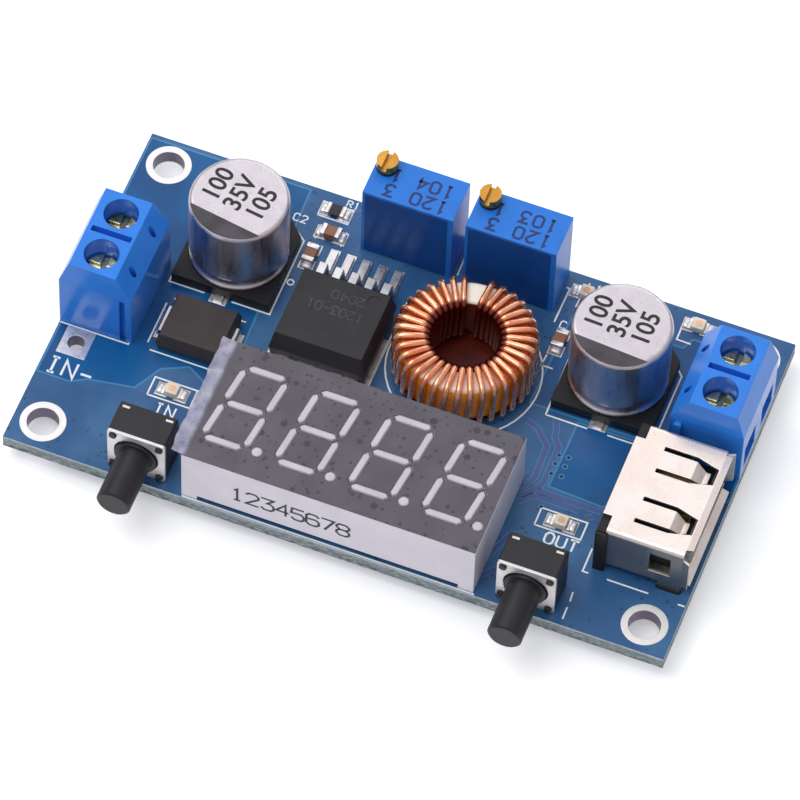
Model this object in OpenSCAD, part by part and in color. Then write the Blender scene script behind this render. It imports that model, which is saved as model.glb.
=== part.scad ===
// Step-down (buck) converter module with screw terminals, a four digit meter,
// a USB outlet, two push buttons and two multi-turn trimmers.
// Millimetres. X runs along the board from input to output, Y towards the trimmers,
// Z up. The origin is the middle of the four mounting holes, on the board's underside.

/* [Board] */
// Length of the circuit board along X
board_l = 68.4; // [68:0.2:76]
// Width of the circuit board along Y
board_w = 38.8; // [38.6:0.2:44]
// Thickness of the circuit board
board_t = 1.6; // [1.2:0.2:2]
// Diameter of each mounting hole
hole_d = 3.2; // [2.8:0.1:3.4]
// Distance from a mounting hole's centre to the nearest two board edges
hole_inset = 3; // [2.6:0.1:3.2]
// Outer diameter of the tinned ring round a mounting hole
ring_d = 4.6; // [4:0.1:5]
// Thickness of the tinned copper pads
foil_t = 0.05; // [0.04:0.01:0.1]
// How far the soldered pins stand out below the board
pin_out = 1.8; // [1.8:0.1:2.4]
// Radial gap between a soldered pin and its hole
hole_play = 0.12; // [0.08:0.02:0.2]
// Height of the solder fillet round a pin
fillet_h = 0.9; // [0.5:0.1:1.2]
// Width of the solder fillet round a pin
fillet_w = 0.5; // [0.3:0.05:0.6]

/* [Screw terminals] */
// Distance between the two poles
pole_pitch = 5.08; // [5:0.02:5.2]
// Distance from a pole's axis to the housing's end face
pole_end = 2.6; // [2.5:0.05:2.8]
// Depth of the housing from its wire side to its inner side
term_w = 7.6; // [7.5:0.05:7.9]
// Height of the housing
term_h = 10; // [9.6:0.1:11]
// Height at which the slopes of the housing begin
term_shoulder = 7.2; // [6.9:0.1:8]
// Width of the slope on the wire side
slope_outer = 0.96; // [0.6:0.06:1.2]
// Width of the slope on the inner side
slope_inner = 1.7; // [1:0.1:2]
// Width of the slope at each end
slope_end = 0.3; // [0.1:0.05:0.4]
// Distance from the wire side to the screw axis
screw_x = 3.5; // [3.4:0.05:3.6]
// Diameter of the screw well
well_d = 3.5; // [3.4:0.05:3.8]
// Diameter of the clamp screw's head
head_d = 3.2; // [3:0.05:3.3]
// Height of the clamp screw's head
head_h = 1; // [0.8:0.05:1.2]
// Depth of the head's top below the top of the housing
head_depth = 2.4; // [2.2:0.05:2.6]
// Diameter of the clamp screw's shank
shank_d = 2.4; // [2:0.05:2.6]
// Width of the screwdriver slots in the clamp screw's head
driver_slot = 0.6; // [0.4:0.05:0.8]
// Outer width of the wire cage
cage_w = 3.9; // [3.7:0.05:4]
// Length of the wire cage along the wire
cage_l = 3.2; // [2.8:0.1:3.2]
// Outer height of the wire cage
cage_h = 3.9; // [3.7:0.05:4]
// Wall of the wire cage
cage_wall = 0.6; // [0.5:0.05:0.7]
// Height of the open cage above the board
cage_lift = 0.5; // [0.4:0.05:0.55]
// How far the cage rises when it clamps
clamp_travel = 1.75; // [1.5:0.05:1.75]
// Thickness of the contact strip
strip_t = 0.55; // [0.4:0.05:0.6]
// Width of the contact strip
strip_w = 2.3; // [1.8:0.1:2.4]
// Diameter of the terminal's solder pin
term_pin_d = 1; // [0.8:0.05:1.2]
// Width of the wire entry
entry_w = 3.2; // [2.8:0.1:3.4]
// Height of the wire entry
entry_h = 3.2; // [2.8:0.1:3.4]
// Running clearance of the screw and the cage
run_gap = 0.06; // [0.04:0.01:0.08]
// Middle of the input terminal along Y
term_in_y = 0.35; // [-0.5:0.05:1]
// Middle of the output terminal along Y
term_out_y = 7.65; // [7.5:0.05:8.5]

/* [Capacitors] */
// Diameter of a capacitor can
cap_d = 10; // [9:0.1:10.2]
// Height of a capacitor above the board
cap_h = 10.2; // [8:0.1:12.5]
// Side of the square capacitor base beyond the can's diameter
cap_base_over = 0.3; // [0.2:0.1:0.4]
// Height of the capacitor base
cap_base_h = 1.3; // [1:0.1:1.6]
// Share of the board's free length between the input terminal and its capacitor
cap_in_gap = 0.85; // [0.5:0.05:1]
// Share of the board's free length between the output capacitor and its terminal
cap_out_gap = 2.1; // [1.8:0.1:2.6]
// Middle of both capacitors along Y
cap_y = 8.75; // [8.6:0.05:9]
// How far a capacitor lead stands out beyond its base
cap_lead_out = 0.75; // [0.5:0.05:0.9]

/* [Inductor] */
// Outer diameter of the ring core
core_d = 13.1; // [12.7:0.1:13.3]
// Bore of the ring core
core_bore = 7.9; // [7.7:0.1:8.2]
// Height of the ring core
core_h = 5; // [4.5:0.1:6.5]
// Diameter of the enamelled wire
wire_d = 0.65; // [0.5:0.05:0.68]
// Number of turns
turns = 32; // [20:1:32]
// Angle left open between the first and the last turn
winding_gap = 20; // [14:1:60]
// Direction of that open angle, from the X axis
winding_gap_at = 104; // [80:1:120]
// Radial slack between the wire and the core
wire_slack = 0.06; // [0.04:0.01:0.08]
// Height of the lowest turns above the board
wire_lift = 0.2; // [0.15:0.05:0.6]
// Share of the board's free length between the regulator and the inductor
inductor_in_gap = 1.04; // [0.9:0.02:1.2]
// Share of the board's free length between the inductor and the output capacitor
inductor_out_gap = 2.14; // [2:0.02:2.4]
// Gap between the display and the inductor's turns
inductor_gap = 2.35; // [2:0.05:2.6]

/* [Regulator] */
// Width of the regulator body along X
reg_l = 10; // [9.6:0.1:10.2]
// Depth of the regulator body along Y
reg_w = 9; // [8.6:0.1:9.2]
// Height of the regulator body
reg_h = 4.4; // [4:0.1:4.8]
// Draft of the regulator's sides, from its middle to its top
reg_draft = 0.45; // [0.2:0.05:0.6]
// Share of the board's free length between the input capacitor and the regulator
reg_gap = 1.95; // [1.8:0.05:2.1]
// Middle of the regulator along Y
reg_y = 3.1; // [2.9:0.1:3.4]
// Number of regulator leads
reg_leads = 5; // [3:1:5]
// Distance between regulator leads
reg_pitch = 1.7; // [1.5:0.05:1.9]
// Width of a regulator lead
reg_lead_w = 0.8; // [0.6:0.05:0.9]
// Thickness of a regulator lead
reg_lead_t = 0.5; // [0.4:0.05:0.55]
// Thickness of the regulator's cooling tab
tab_t = 1.27; // [1:0.05:1.4]

/* [Diode] */
// Length of the diode body along X
diode_l = 6.9; // [6.5:0.1:7]
// Width of the diode body along Y
diode_w = 5.9; // [5.5:0.1:6]
// Height of the diode body
diode_h = 2.3; // [2:0.1:2.6]
// Gap between the input terminal and the diode's leads
diode_gap = 1.75; // [1.5:0.05:1.9]
// Middle of the diode along Y
diode_y = -1.5; // [-1.6:0.1:-1.3]

/* [Display] */
// Length of the display housing along X
disp_l = 30.2; // [29.8:0.1:30.6]
// Width of the display housing along Y
disp_w = 14.1; // [14:0.1:14.4]
// Height of the display housing
disp_h = 7.2; // [6.8:0.1:7.6]
// Wall of the display housing
disp_wall = 1; // [0.8:0.1:1.2]
// Distance from the board's front edge to the display
disp_inset = 0.25; // [0.2:0.05:0.5]
// Middle of the display along X
disp_x = -0.45; // [-0.6:0.05:-0.3]
// Thickness of the dark face
face_t = 0.1; // [0.08:0.02:0.14]
// Depth of the segment wells below the face
well_depth = 1.5; // [1:0.1:2]
// Number of digits
digits = 4; // [2:1:4]
// Distance between digits
digit_pitch = 7.55; // [7.3:0.05:7.6]
// Distance between a digit's two upright rows of segments
digit_w = 4.3; // [4:0.05:4.5]
// Distance between a digit's top and bottom segments
digit_h = 8.85; // [8.4:0.05:9.2]
// Width of a segment
seg_w = 0.9; // [0.7:0.05:1]
// Slant of the digits
digit_slant = 7; // [0:1:10]
// Diameter of the decimal point
point_d = 1.15; // [0.9:0.05:1.2]
// Height of the notch under the front and back walls
disp_notch_h = 0.65; // [0.4:0.05:0.9]
// Length of the feet at both ends of that notch
disp_foot_l = 1.6; // [1:0.1:2.4]
// Thickness of the protective film
film_t = 0.1; // [0.06:0.02:0.16]
// How far the film hangs over the display's left end
film_over = 1.3; // [0.6:0.1:1.6]

/* [Push buttons] */
// Width and height of a button's case
case_w = 6; // [5.8:0.1:6.2]
// Depth of a button's case along Y
case_d = 3.3; // [3.1:0.1:3.5]
// Thickness of the steel cover
cover_t = 0.3; // [0.2:0.05:0.35]
// Distance from the board's front edge to the cover's face
cover_inset = 0.95; // [0.9:0.05:1.1]
// Gap between the display's end and a button's case
case_gap = 2; // [1.8:0.1:2.4]
// Diameter of the plunger
plunger_d = 3.5; // [3.2:0.1:3.6]
// How far the plunger stands out of the cover
plunger_out = 6; // [4:0.1:8]
// How far the plunger travels
press = 0.25; // [0.2:0.05:0.3]
// Diameter of the plunger's shoulder
shoulder_d = 4.3; // [4.1:0.05:4.4]
// Diameter of the plunger's hidden flange
flange_d = 5; // [4.9:0.05:5.1]

/* [USB outlet] */
// Width of the shell along Y
usb_w = 13.1; // [12.9:0.1:13.3]
// Height of the shell
usb_h = 6.1; // [5.9:0.1:6.3]
// Length of the shell from its rear edge to the mouth
usb_l = 8.6; // [8:0.1:9]
// Thickness of the shell's sheet
sheet_t = 0.3; // [0.25:0.01:0.35]
// Height of the shell above the board
usb_lift = 0.6; // [0.4:0.05:0.8]
// Middle of the outlet along Y
usb_y = -5.3; // [-5.5:0.05:-5.2]
// Distance from the board's edge in to the shell's mouth
usb_inset = 0.35; // [0.2:0.05:0.8]
// Length of the flared lips at the mouth
lip_l = 0.7; // [0.4:0.05:0.9]
// Width of a spring tongue in the shell
spring_w = 2.1; // [1.8:0.1:2.2]
// Length of a spring tongue in the shell
spring_l = 4.9; // [4:0.1:5.1]
// Width of the slots beside a spring tongue
slit = 0.5; // [0.3:0.05:0.6]
// Distance between the two spring tongues
spring_pitch = 6.06; // [5.6:0.02:6.4]

/* [Trimmers] */
// Length of a trimmer along X
trim_l = 9.5; // [9.3:0.05:9.8]
// Depth of a trimmer along Y
trim_w = 4.85; // [4.7:0.05:5]
// Height of a trimmer
trim_h = 10; // [9:0.1:11]
// Distance from the board's back edge to the trimmers
trim_inset = 0.45; // [0.3:0.05:0.6]
// Gap between the two trimmers
trim_gap = 1.3; // [1:0.05:1.6]
// Left end of the first trimmer along X
trim_x = -9.75; // [-10:0.05:-9.6]
// Distance from a trimmer's left and back sides to its screw's axis
trim_screw_in = 1.25; // [1.2:0.05:1.35]
// Diameter of a trimmer's screw head
trim_head_d = 2.2; // [2:0.05:2.3]
// Height of a trimmer's screw above its housing
trim_head_h = 1.4; // [1:0.1:1.8]

/* [Hidden] */
$fn = 64;
eps = 0.01;

pad_z = board_t + foil_t;      // where surface-mounted leads stand
front_y = -board_w / 2;
edge_x = board_l / 2;
play = 0.05;                   // clearance between pieces that are assembled by hand
snug = 0.02;                   // clearance a side between pieces that are moulded or pressed together

// Screw terminals, measured from the wire side, the middle and the board
head_top = term_h - head_depth;
head_low = head_top - head_h;
well_floor = head_low - run_gap;
cavity_top = cage_lift + cage_h + clamp_travel + 2 * run_gap;
strip_top = cage_lift + cage_h - cage_wall - run_gap;
shank_low = strip_top + run_gap;
cage_back = screw_x + cage_l / 2;
strip_x = cage_back + 0.35;
term_pin_x = strip_x + strip_t / 2;
cavity_x0 = screw_x - cage_l / 2 - 0.15;
cavity_x1 = strip_x + strip_t + 0.15;
cavity_w = cage_w + 2 * run_gap;

// Capacitors
cap_base = cap_d + cap_base_over;

// The row of terminals, capacitors, regulator and inductor: its five gaps share the length left free
inductor_d = core_d + 2 * wire_slack + 4 * wire_d / 2;
free_l = board_l - 2 * term_w - 2 * cap_base - reg_l - inductor_d;
share = free_l / (cap_in_gap + reg_gap + inductor_in_gap + inductor_out_gap + cap_out_gap);
cap_in_x = -edge_x + term_w + share * cap_in_gap + cap_base / 2;
reg_x = cap_in_x + cap_base / 2 + share * reg_gap + reg_l / 2;
inductor_x = reg_x + reg_l / 2 + share * inductor_in_gap + inductor_d / 2;
cap_out_x = edge_x - term_w - share * cap_out_gap - cap_base / 2;
cap_lead_t = 0.2;
cap_lead_w = 0.9;
cap_sink = 0.6;                // how deep the can stands in its base

// Display
disp_y = front_y + disp_inset + disp_w / 2;
disp_top = board_t + disp_h;
well_back = disp_h - well_depth - face_t - 0.8;    // ceiling of the display's hollow
plate_top = well_back - eps;
plate_t = 1;
disp_rows = 10.16;             // distance between the two rows of pins
disp_pin_pitch = 2.54;
disp_pin_d = 0.5;
digit_y = 0.17;                // how far the digits sit behind the display's middle
point_at = [2.85, -4.2];       // decimal point from a digit's middle

// Inductor: the wire runs round the core on a rounded rectangle of these half sizes
wire_out = core_d / 2 + wire_slack + wire_d / 2;
wire_in = core_bore / 2 - wire_slack - wire_d / 2;
wire_low = wire_lift + wire_d / 2;
core_low = wire_low + wire_d / 2 + wire_slack;
wire_high = core_low + core_h + wire_slack + wire_d / 2;
core_edge = 0.5;               // rounding of the core's edges
wire_bend = core_edge + wire_slack + wire_d / 2;
wire_sides = 8;
turn_step = (360 - winding_gap) / turns;
turn_start = winding_gap_at + winding_gap / 2;
inductor_y = disp_y + disp_w / 2 + inductor_gap + wire_out + wire_d / 2;

// Regulator and diode
reg_foot = reg_l * 0.255;      // length of a lead's foot on its pad
reg_reach = reg_l * 0.59;      // length of a lead from its root to its toe
diode_x = -edge_x + term_w + diode_gap + 0.6 + diode_l / 2;
diode_reach = 0.45;            // how far the diode's leads stand out at each end
diode_lead_w = 3;
diode_lead_t = 0.2;
diode_lead_z = diode_h / 2 + 0.1;        // top of the lead where it leaves the body
diode_lift = 0.1;

// Push buttons
button_reach = disp_l / 2 + case_gap + case_w / 2;
button_xs = [disp_x - button_reach, disp_x + button_reach];
cover_y = front_y + cover_inset;         // face of the steel cover
case_front = cover_y + cover_t;
case_back = case_front + case_d;
plunger_z = board_t + case_w / 2;
cavity_d = flange_d + 0.3;
flange_t = 0.5;
dome_d = 4.4;
dome_t = 0.1;
dome_rise = 0.25;
cavity_deep = flange_t + press + play + dome_rise + dome_t + 0.3;
rivet_at = case_w / 2 - 0.6;
rivet_d = 0.75;
button_pin_x = 2.25;
button_pin_w = 0.6;
button_pin_t = 0.3;
button_pin_in = 0.6;           // distance from a case's rear to its contact strips
cover_leg_x = case_w / 2 - 0.5;

// USB outlet
mouth_x = edge_x - usb_inset;
shell_x = mouth_x - usb_l;
usb_low = board_t + usb_lift;
usb_top = usb_low + usb_h;
usb_tail = 0.95;               // how far the shell's top reaches back over the insulator
usb_block = 1.9;               // length of the insulator's rear block
usb_leg_x = mouth_x - 1.9;
usb_leg_w = 2.2;
usb_contact_ys = [-3.5, -1, 1, 3.5];
usb_contact_x = shell_x - usb_tail + 0.6;
contact_t = 0.3;
tongue_t = 1.8;
tongue_w = 11.1;

// Trimmers
trim_y = board_w / 2 - trim_inset - trim_w / 2;
trim_xs = [trim_x + trim_l / 2, trim_x + trim_l * 1.5 + trim_gap];
trim_pitch = 2.54;
trim_pin_d = 0.5;
trim_stand = 0.3;              // height of the feet under a trimmer
seal_t = 0.35;
trim_shank_d = 1.4;
trim_bore_d = trim_shank_d + 2 * run_gap;
trim_bore_deep = 5;

// Small parts on the board: sizes as [length, width, height] and places as [x, y, angle]
resistor_size = [2, 1.25, 0.55];
lead_side = reg_x - (reg_leads - 1) / 2 * reg_pitch - 0.53;
gap_x = (cap_in_x + cap_base / 2 + lead_side) / 2;     // middle of the gap beside the regulator's leads
small_chips = [[reg_x - 5.1, 17.25, 0]];
small_capacitors = [[reg_x - 4.55, 14.5, 0], [gap_x - 0.1, 11.35, 90], [cap_out_x - 6.9, 11, 90]];
capacitor_size = [2, 1.25, 0.9];
lamp_size = [2, 1.25, 0.8];
lamp_base_h = 0.3;
lamp_lens_l = 1.2;
lamps = [[button_xs[0] - 0.2, -8.6, 0], [button_xs[1] + 0.2, -8.7, 0], [cap_out_x - 6.35, 17.3, 0],
    [edge_x - 9.6, 17.7, 0]];
spare_pad = [-31.7, -6.7, 3, 3.25];
spare_hole_d = 1.7;

// Underside parts, as [x, y, length, width, height, leads a side, lead pitch]
controller = [reg_x + 0.5, 1.5, 6.5, 4.4, 1, 10, 0.65];
amplifier = [inductor_x + 2.2, 2, 4.9, 3.9, 1.4, 4, 1.27];
rail_regulator = [cap_in_x - 0.9, 9, 4.5, 2.5, 1.4, 2, 3];
shunt = [usb_contact_x - 4.9, -1, 6.4, 3.2, 0.6];
under_resistors = [[inductor_x - 4.6, 5.5, 90], [inductor_x - 4.6, 1.5, 90], [inductor_x + 8, 2, 90],
    [reg_x - 7, 3, 90], [cap_in_x - 0.9, 4.5, 0]];
under_size = [1.6, 0.8, 0.45];

// Every round lead hole, as [x, y, pin diameter]
function term_holes(side, mid) =
    [for (k = [-1, 1]) [side * (edge_x - term_pin_x), mid + k * pole_pitch / 2, term_pin_d]];
function trim_holes() =
    [for (x = trim_xs, k = [-1 : 1]) [x + k * trim_pitch, trim_y, trim_pin_d]];
function disp_holes() =
    [for (k = [-2.5 : 1 : 2.5], s = [-1, 1])
        [disp_x + k * disp_pin_pitch, disp_y + s * disp_rows / 2, disp_pin_d]];
function button_holes() =
    [for (x = button_xs, s = [-1, 1])
        [x + s * button_pin_x, case_back - button_pin_in, norm([button_pin_w, button_pin_t])]];
function cover_holes() =
    [for (x = button_xs, s = [-1, 1])
        [x + s * cover_leg_x, cover_y + cover_t / 2, norm([button_pin_w, cover_t])]];
function usb_holes() =
    [for (y = usb_contact_ys) [usb_contact_x, usb_y + y, norm([button_pin_w, contact_t])]];
function wire_holes() = [for (a = [turn_start, turn_start + turns * turn_step + turn_step / 2])
    [inductor_x + wire_out * cos(a), inductor_y + wire_out * sin(a), wire_d]];
function all_holes() = concat(term_holes(-1, term_in_y), term_holes(1, term_out_y), trim_holes(),
    disp_holes(), button_holes(), cover_holes(), usb_holes(), wire_holes());

// ---------- shared shapes ----------
// A box centred in X and Y that stands on z = 0
module slab(l, w, h) {
    translate([-l / 2, -w / 2, 0]) cube([l, w, h]);
}

// A rectangle with round corners, centred
module round_rect(l, w, r) {
    square([l - 2 * r, w], center = true);
    square([l, w - 2 * r], center = true);
    for (x = [-1, 1], y = [-1, 1]) translate([x * (l / 2 - r), y * (w / 2 - r)]) circle(r);
}

// A slot of length l and width w with round ends, along X
module stadium(l, w) {
    square([l - w, w], center = true);
    for (x = [-1, 1]) translate([x * (l - w) / 2, 0]) circle(w / 2);
}

// An outline in X and Z, carried along Y and centred on it
module along_y(w) {
    translate([0, w / 2, 0]) rotate([90, 0, 0]) linear_extrude(w) children();
}

// An outline in Y and Z, carried along X and centred on it
module along_x(l) {
    translate([-l / 2, 0, 0]) rotate([90, 0, 90]) linear_extrude(l) children();
}

// A moulded body whose sides lean in by draft above its middle and below it
module moulded(l, w, h, draft) {
    intersection() {
        along_y(w) belly(l, h, draft);
        along_x(l) belly(w, h, draft);
    }
}

module belly(l, h, draft) {
    polygon([[-l / 2 + draft / 2, 0], [l / 2 - draft / 2, 0], [l / 2, h / 2], [l / 2 - draft, h],
        [-l / 2 + draft, h], [-l / 2, h / 2]]);
}

// A gull-wing lead: out of the body at height z, down, and along the pad to x = reach
module gull_lead(w, t, z, reach, foot) {
    along_y(w) polygon([[0, z], [reach - foot - t, z], [reach - foot, t], [reach, t], [reach, 0],
        [reach - foot - 0.35 * t, 0], [reach - foot - 1.4 * t, z - t], [0, z - t]]);
}

// ---------- board ----------
module mounting_spots() {
    for (x = [-1, 1], y = [-1, 1])
        translate([x * (edge_x - hole_inset), y * (board_w / 2 - hole_inset)]) children();
}

module circuit_board() {
    color([0.04, 0.25, 0.5])
    linear_extrude(board_t) difference() {
        square([board_l, board_w], center = true);
        mounting_spots() circle(d = hole_d);
        for (h = all_holes()) translate([h[0], h[1]]) circle(d = h[2] + 2 * hole_play, $fn = 32);
        translate([spare_pad[0], spare_pad[1]]) circle(d = spare_hole_d);
        for (s = [-1, 1]) translate([usb_leg_x, usb_y + s * (usb_w - sheet_t) / 2])
            stadium(usb_leg_w + 0.5, sheet_t + 0.5);
    }
}

module mounting_rings() {
    color([0.85, 0.85, 0.84])
    for (z = [board_t, -foil_t]) translate([0, 0, z]) mounting_spots()
        linear_extrude(foil_t) difference() {
            circle(d = ring_d);
            circle(d = hole_d);
        }
}

// Two pads under a chip of length l and width w
module pad_pair(l, w) {
    for (s = [-1, 1]) translate([s * l / 2, 0]) square([0.4 * l + 0.5, w + 0.3], center = true);
}

module at_chip(c) {
    translate([c[0], c[1], 0]) rotate([0, 0, c[2]]) children();
}

module solder_pads() {
    color([0.82, 0.82, 0.82]) {
        translate([0, 0, board_t]) linear_extrude(foil_t) top_pads();
        translate([0, 0, -foil_t]) linear_extrude(foil_t) under_pads();
    }
}

module top_pads() {
    difference() {
        translate([spare_pad[0], spare_pad[1]]) square([spare_pad[2], spare_pad[3]], center = true);
        translate([spare_pad[0], spare_pad[1]]) circle(d = spare_hole_d);
    }
    for (c = concat(small_chips, small_capacitors, lamps)) at_chip(c)
        pad_pair(resistor_size[0], resistor_size[1]);
    for (x = [cap_in_x, cap_out_x], s = [-1, 1])
        translate([x, cap_y + s * (cap_base / 2 - 0.9)]) square([1.8, 3.6], center = true);
    for (s = [-1, 1]) translate([diode_x + s * (diode_l / 2 - 0.35), diode_y])
        square([2.2, 3.4], center = true);
    for (k = [0 : reg_leads - 1])
        translate([reg_x + (k - (reg_leads - 1) / 2) * reg_pitch, reg_y + reg_w / 2 + 4])
            square([1.05, 2.9], center = true);
    translate([reg_x, reg_y - 2.2]) square([reg_l + 0.8, reg_w - 1], center = true);
}

module under_pads() {
    difference() {
        translate([spare_pad[0], spare_pad[1]]) square([spare_pad[2], spare_pad[3]], center = true);
        translate([spare_pad[0], spare_pad[1]]) circle(d = spare_hole_d);
    }
    for (c = under_resistors) translate([c[0], c[1]]) rotate(c[2]) pad_pair(under_size[0], under_size[1]);
    translate([shunt[0], shunt[1]]) pad_pair(shunt[2] - 1, shunt[3]);
}

// A solder fillet under the board, and the tinned ring that it wets
module solder_joints() {
    color([0.78, 0.78, 0.78])
    for (h = all_holes()) translate([h[0], h[1], -fillet_h]) difference() {
        cylinder(d1 = h[2] + 0.3, d2 = h[2] + 2 * fillet_w, h = fillet_h, $fn = 32);
        translate([0, 0, -eps]) cylinder(d = h[2] + 2 * snug, h = fillet_h + 2 * eps, $fn = 32);
    }
}

// ---------- screw terminals ----------
module at_input() {
    translate([-edge_x, term_in_y, board_t]) children();
}

module at_output() {
    translate([edge_x, term_out_y, board_t]) rotate([0, 0, 180]) children();
}

module at_poles() {
    for (k = [-1, 1]) translate([0, k * pole_pitch / 2, 0]) children();
}

module terminal_housing() {
    term_l = pole_pitch + 2 * pole_end;
    color([0.1, 0.42, 0.85])
    difference() {
        union() {
            intersection() {
                along_y(term_l) polygon([[0, 0], [term_w, 0], [term_w, term_shoulder],
                    [term_w - slope_inner, term_h], [slope_outer, term_h], [0, term_shoulder]]);
                translate([term_w / 2, 0, 0]) along_x(term_w + 1) polygon([[-term_l / 2, -eps],
                    [term_l / 2, -eps], [term_l / 2, term_shoulder], [term_l / 2 - slope_end, term_h + eps],
                    [-term_l / 2 + slope_end, term_h + eps], [-term_l / 2, term_shoulder]]);
            }
            // dovetail rib that joins the next block
            translate([term_w - 0.9, term_l / 2, 0]) linear_extrude(term_shoulder - 0.7)
                polygon([[-0.25, -eps], [0.25, -eps], [0.42, 0.4], [-0.42, 0.4]]);
        }
        at_poles() {
            translate([screw_x, 0, well_floor]) cylinder(d = well_d, h = term_h);
            translate([screw_x, 0, cavity_top - eps]) cylinder(d = shank_d + 0.4, h = term_h);
            translate([cavity_x0, -cavity_w / 2, 0.3])
                cube([cavity_x1 - cavity_x0, cavity_w, cavity_top - 0.3]);
            translate([strip_x - 2 * play, -strip_w / 2 - 2 * play, -eps])
                cube([strip_t + 4 * play, strip_w + 4 * play, 1]);
            translate([term_pin_x, 0, -eps]) cylinder(d = term_pin_d + 2 * play, h = 0.2, $fn = 32);
            translate([-1, -entry_w / 2, cage_lift + 0.3]) cube([cavity_x0 + 1.1, entry_w, entry_h]);
            // probe hole beside each pole
            translate([term_w - 0.85, 0, term_shoulder - 1]) cylinder(d = 0.75, h = term_h, $fn = 32);
        }
        // slot between the two wells
        translate([1.4, -0.325, term_h - 1.2]) cube([4.2, 0.65, 2]);
        // dovetail groove for the next block
        translate([term_w - 0.9, -term_l / 2, -eps]) linear_extrude(term_shoulder - 0.4)
            polygon([[-0.32, -eps], [0.32, -eps], [0.5, 0.5], [-0.5, 0.5]]);
    }
}

module clamp_screw() {
    color([0.8, 0.78, 0.66])
    translate([screw_x, 0, 0]) {
        difference() {
            translate([0, 0, head_low]) cylinder(d = head_d, h = head_h);
            for (a = [0, 90]) rotate([0, 0, a]) translate([0, 0, head_top - 0.45])
                slab(head_d + 1, driver_slot, 1);
        }
        translate([0, 0, shank_low]) cylinder(d = shank_d, h = head_low - shank_low + eps);
    }
}

module wire_cage() {
    color([0.75, 0.76, 0.74])
    translate([screw_x, 0, cage_lift]) difference() {
        slab(cage_l, cage_w, cage_h);
        translate([0, 0, cage_wall]) slab(cage_l + 1, cage_w - 2 * cage_wall, cage_h - 2 * cage_wall);
        cylinder(d = shank_d + 2 * run_gap, h = cage_h + 1);
        translate([0, 0, -1]) cylinder(d = 0.8, h = 3, $fn = 32);
    }
}

module terminal_strips() {
    color([0.8, 0.8, 0.78])
    at_poles() {
        along_y(strip_w) polygon([[cavity_x0 + 0.2, strip_top - strip_t], [strip_x, strip_top - strip_t],
            [strip_x, 0], [strip_x + strip_t, 0], [strip_x + strip_t, strip_top],
            [cavity_x0 + 0.2, strip_top]]);
        translate([term_pin_x, 0, -board_t - pin_out])
            cylinder(d = term_pin_d, h = board_t + pin_out + eps, $fn = 32);
    }
}

module input_terminal_housing() { at_input() terminal_housing(); }
module input_terminal_strips() { at_input() terminal_strips(); }
module output_terminal_housing() { at_output() terminal_housing(); }
module output_terminal_strips() { at_output() terminal_strips(); }
module input_screw_front() { at_input() translate([0, -pole_pitch / 2, 0]) clamp_screw(); }
module input_screw_back() { at_input() translate([0, pole_pitch / 2, 0]) clamp_screw(); }
module input_cage_front() { at_input() translate([0, -pole_pitch / 2, 0]) wire_cage(); }
module input_cage_back() { at_input() translate([0, pole_pitch / 2, 0]) wire_cage(); }
module output_screw_front() { at_output() translate([0, pole_pitch / 2, 0]) clamp_screw(); }
module output_screw_back() { at_output() translate([0, -pole_pitch / 2, 0]) clamp_screw(); }
module output_cage_front() { at_output() translate([0, pole_pitch / 2, 0]) wire_cage(); }
module output_cage_back() { at_output() translate([0, -pole_pitch / 2, 0]) wire_cage(); }

// ---------- capacitors ----------
module at_capacitor(x) {
    translate([x, cap_y, pad_z]) children();
}

module capacitor_can() {
    low = cap_base_h - cap_sink;
    top = cap_h - foil_t;
    edge = 0.45;
    color([0.8, 0.8, 0.82])
    rotate_extrude() difference() {
        union() {
            translate([0, low]) square([cap_d / 2, top - low - edge]);
            translate([0, low]) square([cap_d / 2 - edge, top - low]);
            translate([cap_d / 2 - edge, top - edge]) circle(edge, $fn = 32);
        }
        translate([cap_d / 2 + 0.35, cap_base_h + 1]) circle(0.75, $fn = 32);
        translate([-1, low - 1]) square([1, top + 2]);
    }
}

module capacitor_base() {
    c = 1.5;
    h = cap_base / 2;
    color([0.09, 0.09, 0.1])
    difference() {
        linear_extrude(cap_base_h)
            polygon([[-h, -h], [h, -h], [h, h - c], [h - c, h], [c - h, h], [-h, h - c]]);
        translate([0, 0, cap_base_h - cap_sink]) cylinder(d = cap_d + 2 * play, h = 2);
        translate([0, 0, -eps]) slab(cap_lead_w + 2 * play, cap_base + 1, cap_lead_t + play + eps);
    }
}

module capacitor_leads() {
    color([0.8, 0.8, 0.8])
    for (a = [0, 180]) rotate([0, 0, a])
        translate([-cap_lead_w / 2, 0.6, 0])
            cube([cap_lead_w, cap_base / 2 + cap_lead_out - 0.6, cap_lead_t]);
}

module input_capacitor_can() { at_capacitor(cap_in_x) capacitor_can(); }
module input_capacitor_base() { at_capacitor(cap_in_x) capacitor_base(); }
module input_capacitor_leads() { at_capacitor(cap_in_x) capacitor_leads(); }
module output_capacitor_can() { at_capacitor(cap_out_x) capacitor_can(); }
module output_capacitor_base() { at_capacitor(cap_out_x) capacitor_base(); }
module output_capacitor_leads() { at_capacitor(cap_out_x) capacitor_leads(); }

// ---------- inductor ----------
module inductor_core() {
    color([0.88, 0.6, 0.12])
    translate([inductor_x, inductor_y, board_t + core_low])
        rotate_extrude($fn = 96) translate([(core_d + core_bore) / 4, core_h / 2])
            round_rect((core_d - core_bore) / 2, core_h, core_edge);
}

// The four corners of one turn as [radius, height, first direction of the bend]
turn_corners = [[wire_out - wire_bend, wire_high - wire_bend, 0],
    [wire_in + wire_bend, wire_high - wire_bend, 90], [wire_in + wire_bend, wire_low + wire_bend, 180],
    [wire_out - wire_bend, wire_low + wire_bend, 270]];

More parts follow.
